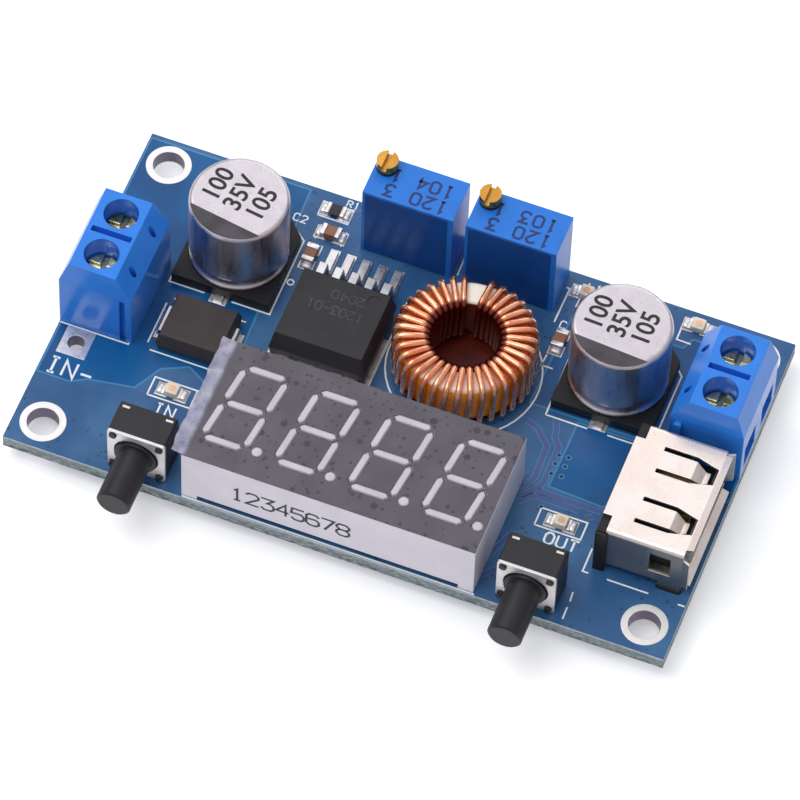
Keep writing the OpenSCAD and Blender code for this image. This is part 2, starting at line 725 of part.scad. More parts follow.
// Point number i of the winding, three to a corner and twelve to a turn
function wire_point(i) =
    let (c = turn_corners[floor(i / 3) % 4], a = c[2] + 45 * (i % 3),
        t = turn_start + turn_step * i / 12, r = c[0] + wire_bend * cos(a))
    [r * cos(t), r * sin(t), c[1] + wire_bend * sin(a)];

wire_last = 12 * turns - 4;
wire_end_at = turn_start + turns * turn_step + turn_step / 2;
wire_path = concat(
    [for (z = [-board_t - pin_out + 0.2, wire_low])
        [wire_out * cos(turn_start), wire_out * sin(turn_start), z]],
    [for (i = [0 : wire_last]) wire_point(i)],
    [for (p = [[wire_in + wire_bend, wire_low], [wire_out - 0.35, wire_low], [wire_out, wire_low - 0.35],
            [wire_out, -board_t - pin_out + 0.2]])
        [p[0] * cos(wire_end_at), p[0] * sin(wire_end_at), p[1]]]);

function unit(v) = v / norm(v);

// A ring of points round point k of the path, square to the path there
function wire_ring(k) =
    let (n = len(wire_path) - 1, p = wire_path[k],
        t = unit(wire_path[min(k + 1, n)] - wire_path[max(k - 1, 0)]),
        side = unit([-p[1], p[0], 0]), u = unit(side - (side * t) * t), v = cross(t, u))
    [for (j = [0 : wire_sides - 1]) let (a = 360 * j / wire_sides) p + wire_d / 2 * (u * cos(a) + v * sin(a))];

module inductor_winding() {
    n = len(wire_path);
    m = wire_sides;
    color([0.8, 0.42, 0.25])
    translate([inductor_x, inductor_y, board_t]) polyhedron(
        points = [for (k = [0 : n - 1]) each wire_ring(k)],
        faces = concat([[for (j = [0 : m - 1]) j], [for (j = [0 : m - 1]) n * m - 1 - j]],
            [for (k = [0 : n - 2], j = [0 : m - 1], h = [0, 1])
                let (a = k * m + j, b = k * m + (j + 1) % m)
                h == 0 ? [a, a + m, b] : [b, a + m, b + m]]));
}

// ---------- regulator ----------
module regulator_body() {
    color([0.17, 0.17, 0.18])
    translate([reg_x, reg_y, pad_z]) difference() {
        moulded(reg_l, reg_w, reg_h, reg_draft);
        translate([0, -reg_w / 2 + 2.6, -eps]) slab(reg_l - 1.2, 8, tab_t + play);
        translate([reg_l / 2 - 1.7, reg_w / 2 - 1.7, reg_h - 0.08]) cylinder(d = 1.4, h = 1, $fn = 32);
        for (k = [0 : reg_leads - 1])
            translate([(k - (reg_leads - 1) / 2) * reg_pitch, reg_w / 2, reg_h / 2 - 0.1])
                slab(reg_lead_w + 2 * snug, 2, reg_lead_t + 2 * snug);
    }
}

module regulator_lead_frame() {
    lead_z = reg_h / 2 - 0.08 + reg_lead_t;
    color([0.78, 0.78, 0.77])
    translate([reg_x, reg_y, pad_z]) {
        difference() {
            translate([0, -reg_w / 2 + 2.6, 0]) slab(reg_l - 1.3, 7.9, tab_t);
            for (s = [-1, 1]) translate([s * (reg_l / 2 - 0.65), -reg_w / 2 - 1.35, -eps])
                rotate([0, 0, 45]) slab(1, 1, tab_t + 1);
        }
        for (k = [0 : reg_leads - 1])
            translate([(k - (reg_leads - 1) / 2) * reg_pitch, reg_w / 2 - 0.9, 0]) rotate([0, 0, 90])
                gull_lead(reg_lead_w, reg_lead_t, lead_z, reg_reach, reg_foot);
    }
}

// ---------- diode ----------
module diode_body() {
    color([0.2, 0.18, 0.2])
    translate([diode_x, diode_y, pad_z]) difference() {
        translate([0, 0, diode_lift]) moulded(diode_l, diode_w, diode_h - diode_lift, 0.35);
        for (s = [-1, 1]) translate([s * (diode_l / 2 - 0.6), 0, 0])
            slab(1.3, diode_lead_w + 2 * play, diode_lead_t + snug);
        for (s = [-1, 1]) translate([s * diode_l / 2, 0, diode_lead_z - diode_lead_t - snug])
            slab(1.3, diode_lead_w + 2 * snug, diode_lead_t + 2 * snug);
    }
}

// Each lead leaves the end at mid height, folds down and curls back under the body
module diode_leads() {
    z = diode_lead_z;
    t = diode_lead_t;
    color([0.78, 0.78, 0.77])
    translate([diode_x, diode_y, pad_z]) for (a = [0, 180]) rotate([0, 0, a]) translate([diode_l / 2, 0, 0])
        along_y(diode_lead_w) polygon([[-0.6, z], [diode_reach - t, z], [diode_reach, z - t],
            [diode_reach, 0], [-1.2, 0], [-1.2, t], [diode_reach - t, t], [diode_reach - t, z - t],
            [-0.6, z - t]]);
}

// ---------- display ----------
module at_display() {
    translate([disp_x, disp_y, board_t]) children();
}

// One segment: a bar of length l with pointed ends along X
module bar(l) {
    w = seg_w / 2;
    polygon([[-l / 2, 0], [w - l / 2, w], [l / 2 - w, w], [l / 2, 0], [l / 2 - w, -w], [w - l / 2, -w]]);
}

// All segments of one digit as outlines, slanted
module digit_outline() {
    gap = 0.12;
    lean = tan(digit_slant);
    across = digit_w - 2 * gap;
    upright = digit_h / 2 - 2 * gap;
    multmatrix([[1, lean, 0, 0], [0, 1, 0, 0], [0, 0, 1, 0], [0, 0, 0, 1]]) {
        for (y = [-1 : 1]) translate([0, y * digit_h / 2]) bar(across);
        for (x = [-1, 1], y = [-1, 1]) translate([x * digit_w / 2, y * digit_h / 4])
            rotate(90) bar(upright);
    }
    translate(point_at) circle(d = point_d, $fn = 32);
}

module all_digits() {
    for (k = [0 : digits - 1])
        translate([(k - (digits - 1) / 2) * digit_pitch, digit_y]) digit_outline();
}

module display_housing() {
    color([0.9, 0.88, 0.93])
    at_display() difference() {
        slab(disp_l, disp_w, disp_h - face_t);
        translate([0, 0, -eps]) slab(disp_l - 2 * disp_wall, disp_w - 2 * disp_wall, well_back);
        translate([0, 0, -eps]) slab(disp_l - 2 * disp_foot_l, disp_w + 1, disp_notch_h);
        translate([0, 0, disp_h - face_t - well_depth]) linear_extrude(well_depth + 1) all_digits();
    }
}

module display_face() {
    color([0.36, 0.33, 0.38])
    at_display() translate([0, 0, disp_h - face_t]) linear_extrude(face_t) difference() {
        square([disp_l - 0.1, disp_w - 0.1], center = true);
        all_digits();
    }
}

module display_segments() {
    color([0.82, 0.78, 0.86])
    at_display() translate([0, 0, disp_h - face_t - well_depth])
        linear_extrude(well_depth + face_t) all_digits();
}

// The small circuit plate that carries the display's light chips
module display_circuit_plate() {
    color([0.75, 0.72, 0.5])
    at_display() translate([0, 0, plate_top - plate_t]) difference() {
        slab(disp_l - 2 * disp_wall - 4 * play, disp_w - 2 * disp_wall - 4 * play, plate_t);
        for (h = disp_holes()) translate([h[0] - disp_x, h[1] - disp_y, -1])
            cylinder(d = disp_pin_d + 2 * play, h = 3, $fn = 32);
    }
}

module display_pins() {
    color([0.8, 0.8, 0.78])
    for (h = disp_holes()) translate([h[0], h[1], -pin_out])
        cylinder(d = disp_pin_d, h = pin_out + board_t + plate_top - 0.05, $fn = 32);
}

// The clear film, whose free left end curls up a little
module display_film() {
    l = disp_l / 2;
    color([0.9, 0.9, 0.95, 0.4])
    at_display() translate([0, 0, disp_h]) along_y(disp_w - 0.2) polygon([[l - 0.1, 0], [l - 0.1, film_t],
        [0.4 - l, film_t], [-l - film_over, film_t + 0.35], [-l - film_over, 0.35], [0.4 - l, 0]]);
}

// ---------- push buttons ----------
// The case lies on its back: its own Z runs towards the finger, along -Y of the board
module at_button(i) {
    translate([button_xs[i], case_front, plunger_z]) rotate([90, 0, 0]) children();
}

module button_case() {
    color([0.1, 0.1, 0.11])
    difference() {
        union() {
            translate([0, 0, -case_d]) linear_extrude(case_d) round_rect(case_w, case_w, 0.25);
            for (x = [-1, 1], y = [-1, 1]) translate([x * rivet_at, y * rivet_at, -eps])
                cylinder(d = rivet_d, h = cover_t + 0.2, $fn = 32);
        }
        translate([0, 0, -cavity_deep]) cylinder(d = cavity_d, h = cavity_deep + 1);
        // slots in the underside for the contact strips
        for (x = [-1, 1]) translate([x * button_pin_x, -case_w / 2 - eps, button_pin_in - case_d])
            translate([-button_pin_w / 2 - snug, 0, -button_pin_t / 2 - snug])
                cube([button_pin_w + 2 * snug, 1.2, button_pin_t + 2 * snug]);
        // two slots in the top, where the contact strips show
        for (x = [-1, 1]) translate([x * button_pin_x, case_w / 2, 0.45 - case_d])
            cube([0.8, 0.3, 0.3], center = true);
    }
}

module button_cover() {
    color([0.7, 0.7, 0.72])
    difference() {
        union() {
            linear_extrude(cover_t) round_rect(case_w, case_w, 0.25);
            for (x = [-1, 1]) translate([x * cover_leg_x - button_pin_w / 2, -plunger_z - pin_out, 0])
                cube([button_pin_w, pin_out + plunger_z - 2, cover_t]);
        }
        translate([0, 0, -1]) cylinder(d = shoulder_d + 0.3, h = 3);
        for (x = [-1, 1], y = [-1, 1]) translate([x * rivet_at, y * rivet_at, -1])
            cylinder(d = rivet_d + 2 * snug, h = 3, $fn = 32);
    }
}

module button_plunger() {
    low = -flange_t - play;
    color([0.13, 0.13, 0.15])
    difference() {
        union() {
            translate([0, 0, low]) cylinder(d = flange_d, h = flange_t);
            translate([0, 0, low]) cylinder(d = shoulder_d, h = flange_t + play + cover_t + 0.35);
            translate([0, 0, low]) cylinder(d = plunger_d, h = plunger_out + cover_t - low - 0.2);
            translate([0, 0, plunger_out + cover_t - 0.2 - eps])
                cylinder(d1 = plunger_d, d2 = plunger_d - 0.4, h = 0.2);
        }
        // spigot recess that carries the pressing nub
        translate([0, 0, low - eps]) cylinder(d = 1.6, h = 0.1);
    }
}

module button_dome() {
    floor_z = -cavity_deep;
    r = dome_d / 2;
    color([0.75, 0.74, 0.7])
    rotate_extrude() polygon([[0, floor_z + dome_rise], [0.9, floor_z + dome_rise], [r - 0.3, floor_z],
        [r, floor_z], [r, floor_z + dome_t], [r - 0.3, floor_z + dome_t], [0.9, floor_z + dome_rise + dome_t],
        [0, floor_z + dome_rise + dome_t]]);
}

module button_terminals() {
    color([0.85, 0.85, 0.85])
    for (x = [-1, 1]) {
        translate([x * button_pin_x - button_pin_w / 2, -plunger_z - pin_out,
                button_pin_in - case_d - button_pin_t / 2])
            cube([button_pin_w, plunger_z + pin_out - case_w / 2 + 1.15, button_pin_t]);
        translate([x * button_pin_x, case_w / 2 - 0.08, 0.45 - case_d])
            cube([0.76, 0.12, 0.26], center = true);
    }
}

module left_button_case() { at_button(0) button_case(); }
module left_button_cover() { at_button(0) button_cover(); }
module left_button_plunger() { at_button(0) button_plunger(); }
module left_button_dome() { at_button(0) button_dome(); }
module left_button_terminals() { at_button(0) button_terminals(); }
module right_button_case() { at_button(1) button_case(); }
module right_button_cover() { at_button(1) button_cover(); }
module right_button_plunger() { at_button(1) button_plunger(); }
module right_button_dome() { at_button(1) button_dome(); }
module right_button_terminals() { at_button(1) button_terminals(); }

// ---------- USB outlet ----------
// Outline of the cut round one spring tongue, seen from above, mouth towards +X
module spring_cut() {
    w = spring_w / 2;
    difference() {
        polygon([[-spring_l, w + slit], [-1.5, w + slit], [0.9, 0.9], [0.9, -0.9], [-1.5, -w - slit],
            [-spring_l, -w - slit]]);
        polygon([[-spring_l - 1, w], [-1.4, w], [0, 0.6], [0, -0.6], [-1.4, -w], [-spring_l - 1, -w]]);
    }
}

// The tip of a spring tongue, which dips into the opening below the sheet
module spring_tip() {
    w = spring_w / 2;
    intersection() {
        along_y(spring_w) polygon([[-1.9, 0], [-1.9, sheet_t], [-1.4, sheet_t], [-0.4, sheet_t - 0.85],
            [0.1, sheet_t - 0.6], [0.1, sheet_t - 0.9], [-0.4, -0.85], [-1.45, 0]]);
        translate([0, 0, -2]) linear_extrude(4)
            polygon([[-3, w], [-1.4, w], [0.1, 0.6], [0.1, -0.6], [-1.4, -w], [-3, -w]]);
    }
}

module usb_shell() {
    mid = usb_low + usb_h / 2;
    tip_x = mouth_x - lip_l - 0.9;
    color([0.85, 0.85, 0.86]) {
        difference() {
            union() {
                translate([(shell_x + mouth_x - lip_l) / 2, usb_y, mid]) along_x(mouth_x - lip_l - shell_x)
                    round_rect(usb_w, usb_h, 0.5);
                // tail of the top sheet over the insulator
                translate([shell_x - usb_tail, usb_y - 4.7, usb_top - sheet_t])
                    cube([usb_tail + 1, 9.4, sheet_t]);
            }
            translate([(shell_x + mouth_x) / 2, usb_y, mid]) along_x(mouth_x - shell_x + 2)
                round_rect(usb_w - 2 * sheet_t, usb_h - 2 * sheet_t, 0.25);
            for (s = [-1, 1]) translate([tip_x, usb_y + s * spring_pitch / 2, usb_top - 1])
                linear_extrude(2) spring_cut();
            // the tongues' ends are cut off where their dipped tips begin
            for (s = [-1, 1])
                translate([tip_x - 1.45, usb_y + s * spring_pitch / 2 - spring_w / 2 - eps, usb_top - 1])
                cube([1.6, spring_w + 2 * eps, 2]);
            // window in each side, near the mouth
            for (s = [-1, 1]) translate([mouth_x - lip_l - 2.3, usb_y + s * usb_w / 2, mid + 0.2])
                cube([2.2, 2, 3], center = true);
        }
        for (s = [-1, 1]) translate([tip_x, usb_y + s * spring_pitch / 2, usb_top - sheet_t]) spring_tip();
        usb_lips(mid);
        for (s = [-1, 1]) translate([usb_leg_x, usb_y + s * (usb_w - sheet_t) / 2, -pin_out])
            slab(usb_leg_w, sheet_t, pin_out + usb_low + 1);
    }
}

// Four lips that flare outwards at the mouth
module usb_lips(mid) {
    x = mouth_x - lip_l;
    flare = 0.35;
    lip = [[-0.1, 0], [0, 0], [lip_l, flare], [lip_l, flare + sheet_t * 0.8], [0, sheet_t], [-0.1, sheet_t]];
    for (s = [-1, 1]) {
        translate([x, usb_y, mid]) mirror([0, 0, s < 0 ? 1 : 0]) translate([0, 0, usb_h / 2 - sheet_t])
            along_y(usb_w - 1.6) polygon(lip);
        translate([x, usb_y, mid - (usb_h - 1.6) / 2]) mirror([0, s < 0 ? 1 : 0, 0])
            translate([0, usb_w / 2 - sheet_t, 0]) linear_extrude(usb_h - 1.6) polygon(lip);
    }
}

module usb_insulator() {
    inner_w = usb_w - 2 * sheet_t - 0.1;
    inner_low = usb_low + sheet_t + 0.05;
    block_x = shell_x - usb_tail;
    color([0.08, 0.08, 0.08])
    difference() {
        union() {
            translate([block_x, usb_y - usb_w / 2, board_t])
                cube([usb_tail - snug, usb_w, usb_top - sheet_t - snug - board_t]);
            translate([shell_x - 0.1, usb_y - inner_w / 2 + 0.3, inner_low])
                cube([usb_block - usb_tail + 0.1, inner_w - 0.6, usb_h - 2 * sheet_t - 0.1]);
            translate([shell_x, usb_y - tongue_w / 2, usb_low + usb_h / 2 - tongue_t / 2 - 0.4])
                cube([mouth_x - 1.4 - shell_x, tongue_w, tongue_t]);
            // feet under the shell
            translate([shell_x - 0.1, usb_y - usb_w / 2 + 0.6, board_t])
                cube([2.1, usb_w - 1.2, usb_lift - snug]);
        }
        // grooves that carry the contacts
        for (y = usb_contact_ys) {
            translate([usb_contact_x - contact_t / 2 - snug, usb_y + y - 0.52, 0])
                cube([contact_t + 2 * snug, 1.04, contact_z() + contact_t]);
            translate([usb_contact_x - contact_t / 2 - snug, usb_y + y - 0.52, contact_z()])
                cube([mouth_x, 1.04, contact_t + 2 * snug]);
        }
    }
}

function contact_z() = usb_low + usb_h / 2 - 0.4 - tongue_t / 2 + tongue_t - 0.34 + 0.01;

module usb_contacts() {
    color([0.85, 0.7, 0.35])
    for (y = usb_contact_ys) translate([usb_contact_x, usb_y + y, 0]) {
        translate([-contact_t / 2, -0.5, contact_z() + snug])
            cube([mouth_x - 1.8 - usb_contact_x, 1, contact_t]);
        translate([0, 0, board_t + 0.05]) slab(contact_t, 1, contact_z() - board_t);
        translate([0, 0, -pin_out]) slab(contact_t, button_pin_w, pin_out + board_t + 0.1);
    }
}

// ---------- trimmers ----------
module at_trimmer(i) {
    translate([trim_xs[i], trim_y, board_t]) children();
}

module trim_screw_spot() {
    translate([-trim_l / 2 + trim_screw_in, trim_w / 2 - trim_screw_in, 0]) children();
}

module trimmer_housing() {
    color([0.08, 0.36, 0.78])
    difference() {
        slab(trim_l, trim_w, trim_h);
        // shallow panel in the front face, and the space between the feet
        translate([-trim_l / 2 + 0.75, -trim_w / 2 - 1, -eps]) cube([trim_l - 1.5, 1.3, trim_h - 0.35]);
        translate([-trim_l / 2 + 0.9, -trim_w / 2 - 1, -eps]) cube([trim_l - 1.8, trim_w + 2, trim_stand]);
        trim_screw_spot() translate([0, 0, trim_h - trim_bore_deep])
            cylinder(d = trim_bore_d, h = trim_bore_deep + 1);
        for (k = [-1 : 1]) translate([k * trim_pitch, 0, -eps])
            cylinder(d = trim_pin_d + 2 * snug, h = 1.3, $fn = 32);
    }
}

module trimmer_seal() {
    color([0.06, 0.06, 0.06])
    trim_screw_spot() translate([0, 0, trim_h]) difference() {
        cylinder(d = trim_head_d, h = seal_t);
        translate([0, 0, -eps]) cylinder(d = trim_bore_d, h = seal_t + 1);
    }
}

module trimmer_screw() {
    color([0.8, 0.62, 0.25])
    trim_screw_spot() difference() {
        union() {
            translate([0, 0, trim_h + seal_t + run_gap])
                cylinder(d = trim_head_d, h = trim_head_h - seal_t - run_gap);
            translate([0, 0, trim_h - trim_bore_deep + 0.1])
                cylinder(d = trim_shank_d, h = trim_bore_deep + seal_t + run_gap);
        }
        translate([0, 0, trim_h + trim_head_h - 0.6]) slab(0.5, trim_head_d + 1, 1);
    }
}

module trimmer_pins() {
    color([0.85, 0.83, 0.75])
    for (k = [-1 : 1]) translate([k * trim_pitch, 0, -board_t - pin_out])
        cylinder(d = trim_pin_d, h = board_t + pin_out + 1.25, $fn = 32);
}

module voltage_trimmer_housing() { at_trimmer(0) trimmer_housing(); }
module voltage_trimmer_seal() { at_trimmer(0) trimmer_seal(); }
module voltage_trimmer_screw() { at_trimmer(0) trimmer_screw(); }
module voltage_trimmer_pins() { at_trimmer(0) trimmer_pins(); }
module current_trimmer_housing() { at_trimmer(1) trimmer_housing(); }
module current_trimmer_seal() { at_trimmer(1) trimmer_seal(); }
module current_trimmer_screw() { at_trimmer(1) trimmer_screw(); }
module current_trimmer_pins() { at_trimmer(1) trimmer_pins(); }

// ---------- small parts ----------
// A chip of this size with a thicker metal cap at each end
module chip(size, cap, lip) {
    slab(size[0] - 2 * cap, size[1] - 2 * lip, size[2] - lip);
    for (s = [-1, 1]) translate([s * (size[0] - cap) / 2, 0, 0]) slab(cap, size[1], size[2]);
}

module status_lamps() {
    color([0.95, 0.9, 0.8])
    for (c = lamps) at_chip(c) translate([0, 0, pad_z]) {
        slab(lamp_size[0], lamp_size[1], lamp_base_h);
        translate([0, 0, lamp_base_h - eps]) along_y(lamp_size[1])
            polygon([[-lamp_lens_l / 2, 0], [lamp_lens_l / 2, 0],
                [lamp_lens_l * 0.42, lamp_size[2] - lamp_base_h],
                [-lamp_lens_l * 0.42, lamp_size[2] - lamp_base_h]]);
    }
}

module chip_resistors() {
    color([0.1, 0.1, 0.11]) {
        for (c = small_chips) at_chip(c) translate([0, 0, pad_z]) chip(resistor_size, 0.35, 0.03);
        for (c = under_resistors) at_chip(c) translate([0, 0, -foil_t]) mirror([0, 0, 1])
            chip(under_size, 0.3, 0.03);
        translate([shunt[0], shunt[1], -foil_t]) mirror([0, 0, 1])
            chip([shunt[2], shunt[3], shunt[4]], 0.9, 0.05);
    }
}

module chip_capacitors() {
    color([0.62, 0.42, 0.28])
    for (c = small_capacitors) at_chip(c) translate([0, 0, pad_z]) chip(capacitor_size, 0.4, 0.04);
}

// Packages on the underside hang from the board, leads up
module at_under(p) {
    translate([p[0], p[1], 0]) mirror([0, 0, 1]) children();
}

module underside_chips() {
    color([0.15, 0.15, 0.16])
    for (p = [controller, amplifier, rail_regulator]) at_under(p) translate([0, 0, 0.15])
        moulded(p[2], p[3], p[4], 0.15);
}

module underside_chip_leads() {
    color([0.78, 0.78, 0.77])
    for (p = [controller, amplifier, rail_regulator]) at_under(p)
        for (s = [-1, 1], k = [0 : p[5] - 1])
            translate([(k - (p[5] - 1) / 2) * p[6], s * p[3] / 2, 0]) rotate([0, 0, s * 90])
                gull_lead(min(0.42, 0.4 * p[6]), 0.15, 0.15 + p[4] / 2, 1, 0.5);
}

circuit_board();
mounting_rings();
solder_pads();
solder_joints();
input_terminal_housing();
input_screw_front();
input_screw_back();
input_cage_front();
input_cage_back();
input_terminal_strips();
output_terminal_housing();
output_screw_front();
output_screw_back();
output_cage_front();
output_cage_back();
output_terminal_strips();
input_capacitor_can();
input_capacitor_base();
input_capacitor_leads();
output_capacitor_can();
output_capacitor_base();
output_capacitor_leads();
inductor_core();
inductor_winding();
regulator_body();
regulator_lead_frame();
diode_body();
diode_leads();
display_housing();
display_face();
display_segments();
display_circuit_plate();
display_pins();
display_film();
left_button_case();
left_button_cover();
left_button_plunger();
left_button_dome();
left_button_terminals();
right_button_case();
right_button_cover();
right_button_plunger();
right_button_dome();
right_button_terminals();
usb_shell();
usb_insulator();
usb_contacts();
voltage_trimmer_housing();
voltage_trimmer_seal();
voltage_trimmer_screw();
voltage_trimmer_pins();
current_trimmer_housing();
current_trimmer_seal();
current_trimmer_screw();
current_trimmer_pins();
status_lamps();
chip_resistors();
chip_capacitors();
underside_chips();
underside_chip_leads();
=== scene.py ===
import math

import bmesh
import bpy
import numpy as np
from mathutils import Matrix, Vector


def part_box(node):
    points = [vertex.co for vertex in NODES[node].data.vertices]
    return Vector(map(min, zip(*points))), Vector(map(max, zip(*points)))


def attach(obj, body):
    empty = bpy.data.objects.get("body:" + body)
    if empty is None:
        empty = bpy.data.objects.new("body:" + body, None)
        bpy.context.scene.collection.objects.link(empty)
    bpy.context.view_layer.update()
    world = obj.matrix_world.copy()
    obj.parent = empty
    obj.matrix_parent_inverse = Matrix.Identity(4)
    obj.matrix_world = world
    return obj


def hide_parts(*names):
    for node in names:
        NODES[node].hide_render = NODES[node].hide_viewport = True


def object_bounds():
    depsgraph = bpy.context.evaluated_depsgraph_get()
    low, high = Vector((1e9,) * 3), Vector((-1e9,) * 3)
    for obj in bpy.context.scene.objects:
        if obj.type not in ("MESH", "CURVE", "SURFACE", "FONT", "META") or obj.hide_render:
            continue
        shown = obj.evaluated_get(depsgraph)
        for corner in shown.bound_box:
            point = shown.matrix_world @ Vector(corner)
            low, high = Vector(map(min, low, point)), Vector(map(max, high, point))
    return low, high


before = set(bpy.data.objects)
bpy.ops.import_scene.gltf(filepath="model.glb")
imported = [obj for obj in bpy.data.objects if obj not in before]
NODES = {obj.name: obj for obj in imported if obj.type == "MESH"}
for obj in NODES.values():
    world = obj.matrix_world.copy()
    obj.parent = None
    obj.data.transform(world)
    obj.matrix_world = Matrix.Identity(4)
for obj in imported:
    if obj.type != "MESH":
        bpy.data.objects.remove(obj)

MM = 0.001
BOARD = "board_assembly"
cad_low, cad_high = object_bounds()
cad_box = [[float(v) for v in cad_low], [float(v) for v in cad_high]]


def span(node):
    """Lowest and highest corner of a CAD node in millimetres."""
    low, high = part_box(node)
    return np.array(low) / MM, np.array(high) / MM


board_low, board_high = span("circuit_board")
core_low, core_high = span("inductor_core")
display_low, display_high = span("display_housing")
coil_x, coil_y = (core_low[0] + core_high[0]) / 2, (core_low[1] + core_high[1]) / 2
TOP = float(board_high[2])
PRINT = TOP + 0.02
CORE_BORE_R = 3.95
WIRE_R = 0.325
TURNS = 34
GAP = 14.0
GAP_AT = 104.0


# ---------- shapes ----------
def unit(v):
    """Each row divided by its length."""
    return v / np.maximum(np.linalg.norm(v, axis=-1, keepdims=True), 1e-12)


def loft(loops, closed=False, caps=True):
    """Quads between rings of points. loops has the shape (rings, points in a ring, 3)."""
    loops = np.asarray(loops, float)
    rings, n = loops.shape[:2]
    index = np.arange(rings * n).reshape(rings, n)
    if closed:
        a, b = index, np.roll(index, -1, axis=0)
    else:
        a, b = index[:-1], index[1:]
    quads = np.stack([a, np.roll(a, -1, axis=1), np.roll(b, -1, axis=1), b], axis=-1).reshape(-1, 4)
    faces = quads.tolist()
    if caps and not closed:
        faces += [index[0][::-1].tolist(), index[-1].tolist()]
    return loops.reshape(-1, 3), faces


def gather(parts):
    """Several (points, faces) pairs as one."""
    points, faces, start = [], [], 0
    for some, their in parts:
        points.append(some)
        faces += [[v + start for v in face] for face in their]
        start += len(some)
    return np.concatenate(points), faces


def strip(path, width, low, high, closed=False):
    """A flat band along a path in X and Y. Its two sides are the path moved half the width along
    the mean of the normals of the two neighbouring legs, lengthened so that the width stays even."""
    p = np.asarray(path, float)
    if closed:
        before, after = p - np.roll(p, 1, axis=0), np.roll(p, -1, axis=0) - p
    else:
        legs = np.diff(p, axis=0)
        before, after = np.vstack([legs[:1], legs]), np.vstack([legs, legs[-1:]])
    before, after = unit(before), unit(after)
    n_in = np.stack([-before[:, 1], before[:, 0]], axis=1)
    n_out = np.stack([-after[:, 1], after[:, 0]], axis=1)
    mean = unit(n_in + n_out)
    mean = mean / np.maximum((mean * n_in).sum(axis=1, keepdims=True), 0.4)
    left, right = p + mean * width / 2, p - mean * width / 2
    flat = np.stack([left, right, right, left], axis=1)
    height = np.broadcast_to(np.array([low, low, high, high])[None, :, None], (len(p), 4, 1))
    return loft(np.concatenate([flat, height], axis=2), closed)


def round_outline(l, w, r):
    """A rectangle's outline with round corners: each corner's arc of 5 points round its own centre."""
    a = np.linspace(0, math.pi / 2, 5)
    turn = np.repeat(np.arange(4) * math.pi / 2, 5) + np.tile(a, 4)
    sign = np.repeat([[1, 1], [-1, 1], [-1, -1], [1, -1]], 5, axis=0)
    return sign * [l / 2 - r, w / 2 - r] + r * np.stack([np.cos(turn), np.sin(turn)], axis=1)


def turned(points, x, y, angle):
    """Points turned about Z by an angle in degrees, then moved."""
    a = math.radians(angle)
    out = np.array(points, float)
    out[:, 0] = points[:, 0] * math.cos(a) - points[:, 1] * math.sin(a) + x
    out[:, 1] = points[:, 0] * math.sin(a) + points[:, 1] * math.cos(a) + y
    return out


def brick(x, y, low, size, edge, corner):
    """A block with a rounded outline whose top edge is bevelled: four outlines, the last drawn in."""
    l, w, h = size
    inset = np.array([0, 0, 0.3, 1.0]) * edge
    rise = np.array([0, h - edge, h - 0.3 * edge, h])
    loops = [np.column_stack([round_outline(l - 2 * i, w - 2 * i, max(corner - i / 2, 0.01)),
                              np.full(20, low + z)]) for i, z in zip(inset, rise)]
    points, faces = loft(loops)
    return points + [x, y, 0], faces


def sheet(top, under):
    """A closed sheet between two grids of points: both grids as quads, joined round their rims."""
    rows, columns = top.shape[:2]
    n = rows * columns
    i = np.arange(n).reshape(rows, columns)
    quads = np.stack([i[:-1, :-1], i[1:, :-1], i[1:, 1:], i[:-1, 1:]], axis=-1).reshape(-1, 4)
    rim = np.concatenate([i[0, :-1], i[:-1, -1], i[-1, :0:-1], i[:0:-1, 0]])
    after = np.roll(rim, -1)
    wall = np.stack([rim, after, after + n, rim + n], axis=-1)
    faces = quads.tolist() + (quads[:, ::-1] + n).tolist() + wall.tolist()
    return np.concatenate([top.reshape(-1, 3), under.reshape(-1, 3)]), faces


def mound(x, y, low, size):
    """A drop of solder on a rectangular pad: its height is the product of two flattened arches,
    sqrt(1 - u^4) and sqrt(1 - v^4), over the pad's half length u and half width v."""
    l, w, h = size
    t = np.sin(np.linspace(-math.pi / 2, math.pi / 2, 9))
    u, v = np.meshgrid(t, t, indexing="ij")
    z = low + h * np.sqrt(np.maximum(1 - u**4, 0)) * np.sqrt(np.maximum(1 - v**4, 0))
    top = np.stack([u * l / 2 + x, v * w / 2 + y, z], axis=-1)
    under = top.copy()
    under[:, :, 2] = low - 0.002
    return sheet(top, under)


def lathe(profile, x, y, steps):
    """A profile of (radius, height) rows turned about a vertical axis at x, y."""
    profile = np.asarray(profile, float)
    a = np.linspace(0, 2 * math.pi, steps, endpoint=False)
    r, z = profile[:, :1], profile[:, 1:]
    loops = np.stack([x + r * np.cos(a), y + r * np.sin(a), z + 0 * a], axis=-1)
    return loft(loops, caps=False)


def tube(path, radius, side):
    """A round wire of 14 sides along a path. side gives at each point a direction across the wire; the other
    direction is square to it and to the path's tangent, the difference of the two neighbours."""
    tangent = unit(np.gradient(path, axis=0))
    u = unit(side - (side * tangent).sum(axis=1, keepdims=True) * tangent)
    v = np.cross(tangent, u)
    a = np.linspace(0, 2 * math.pi, 14, endpoint=False)[None, :, None]
    return loft(path[:, None] + radius * (u[:, None] * np.cos(a) + v[:, None] * np.sin(a)))


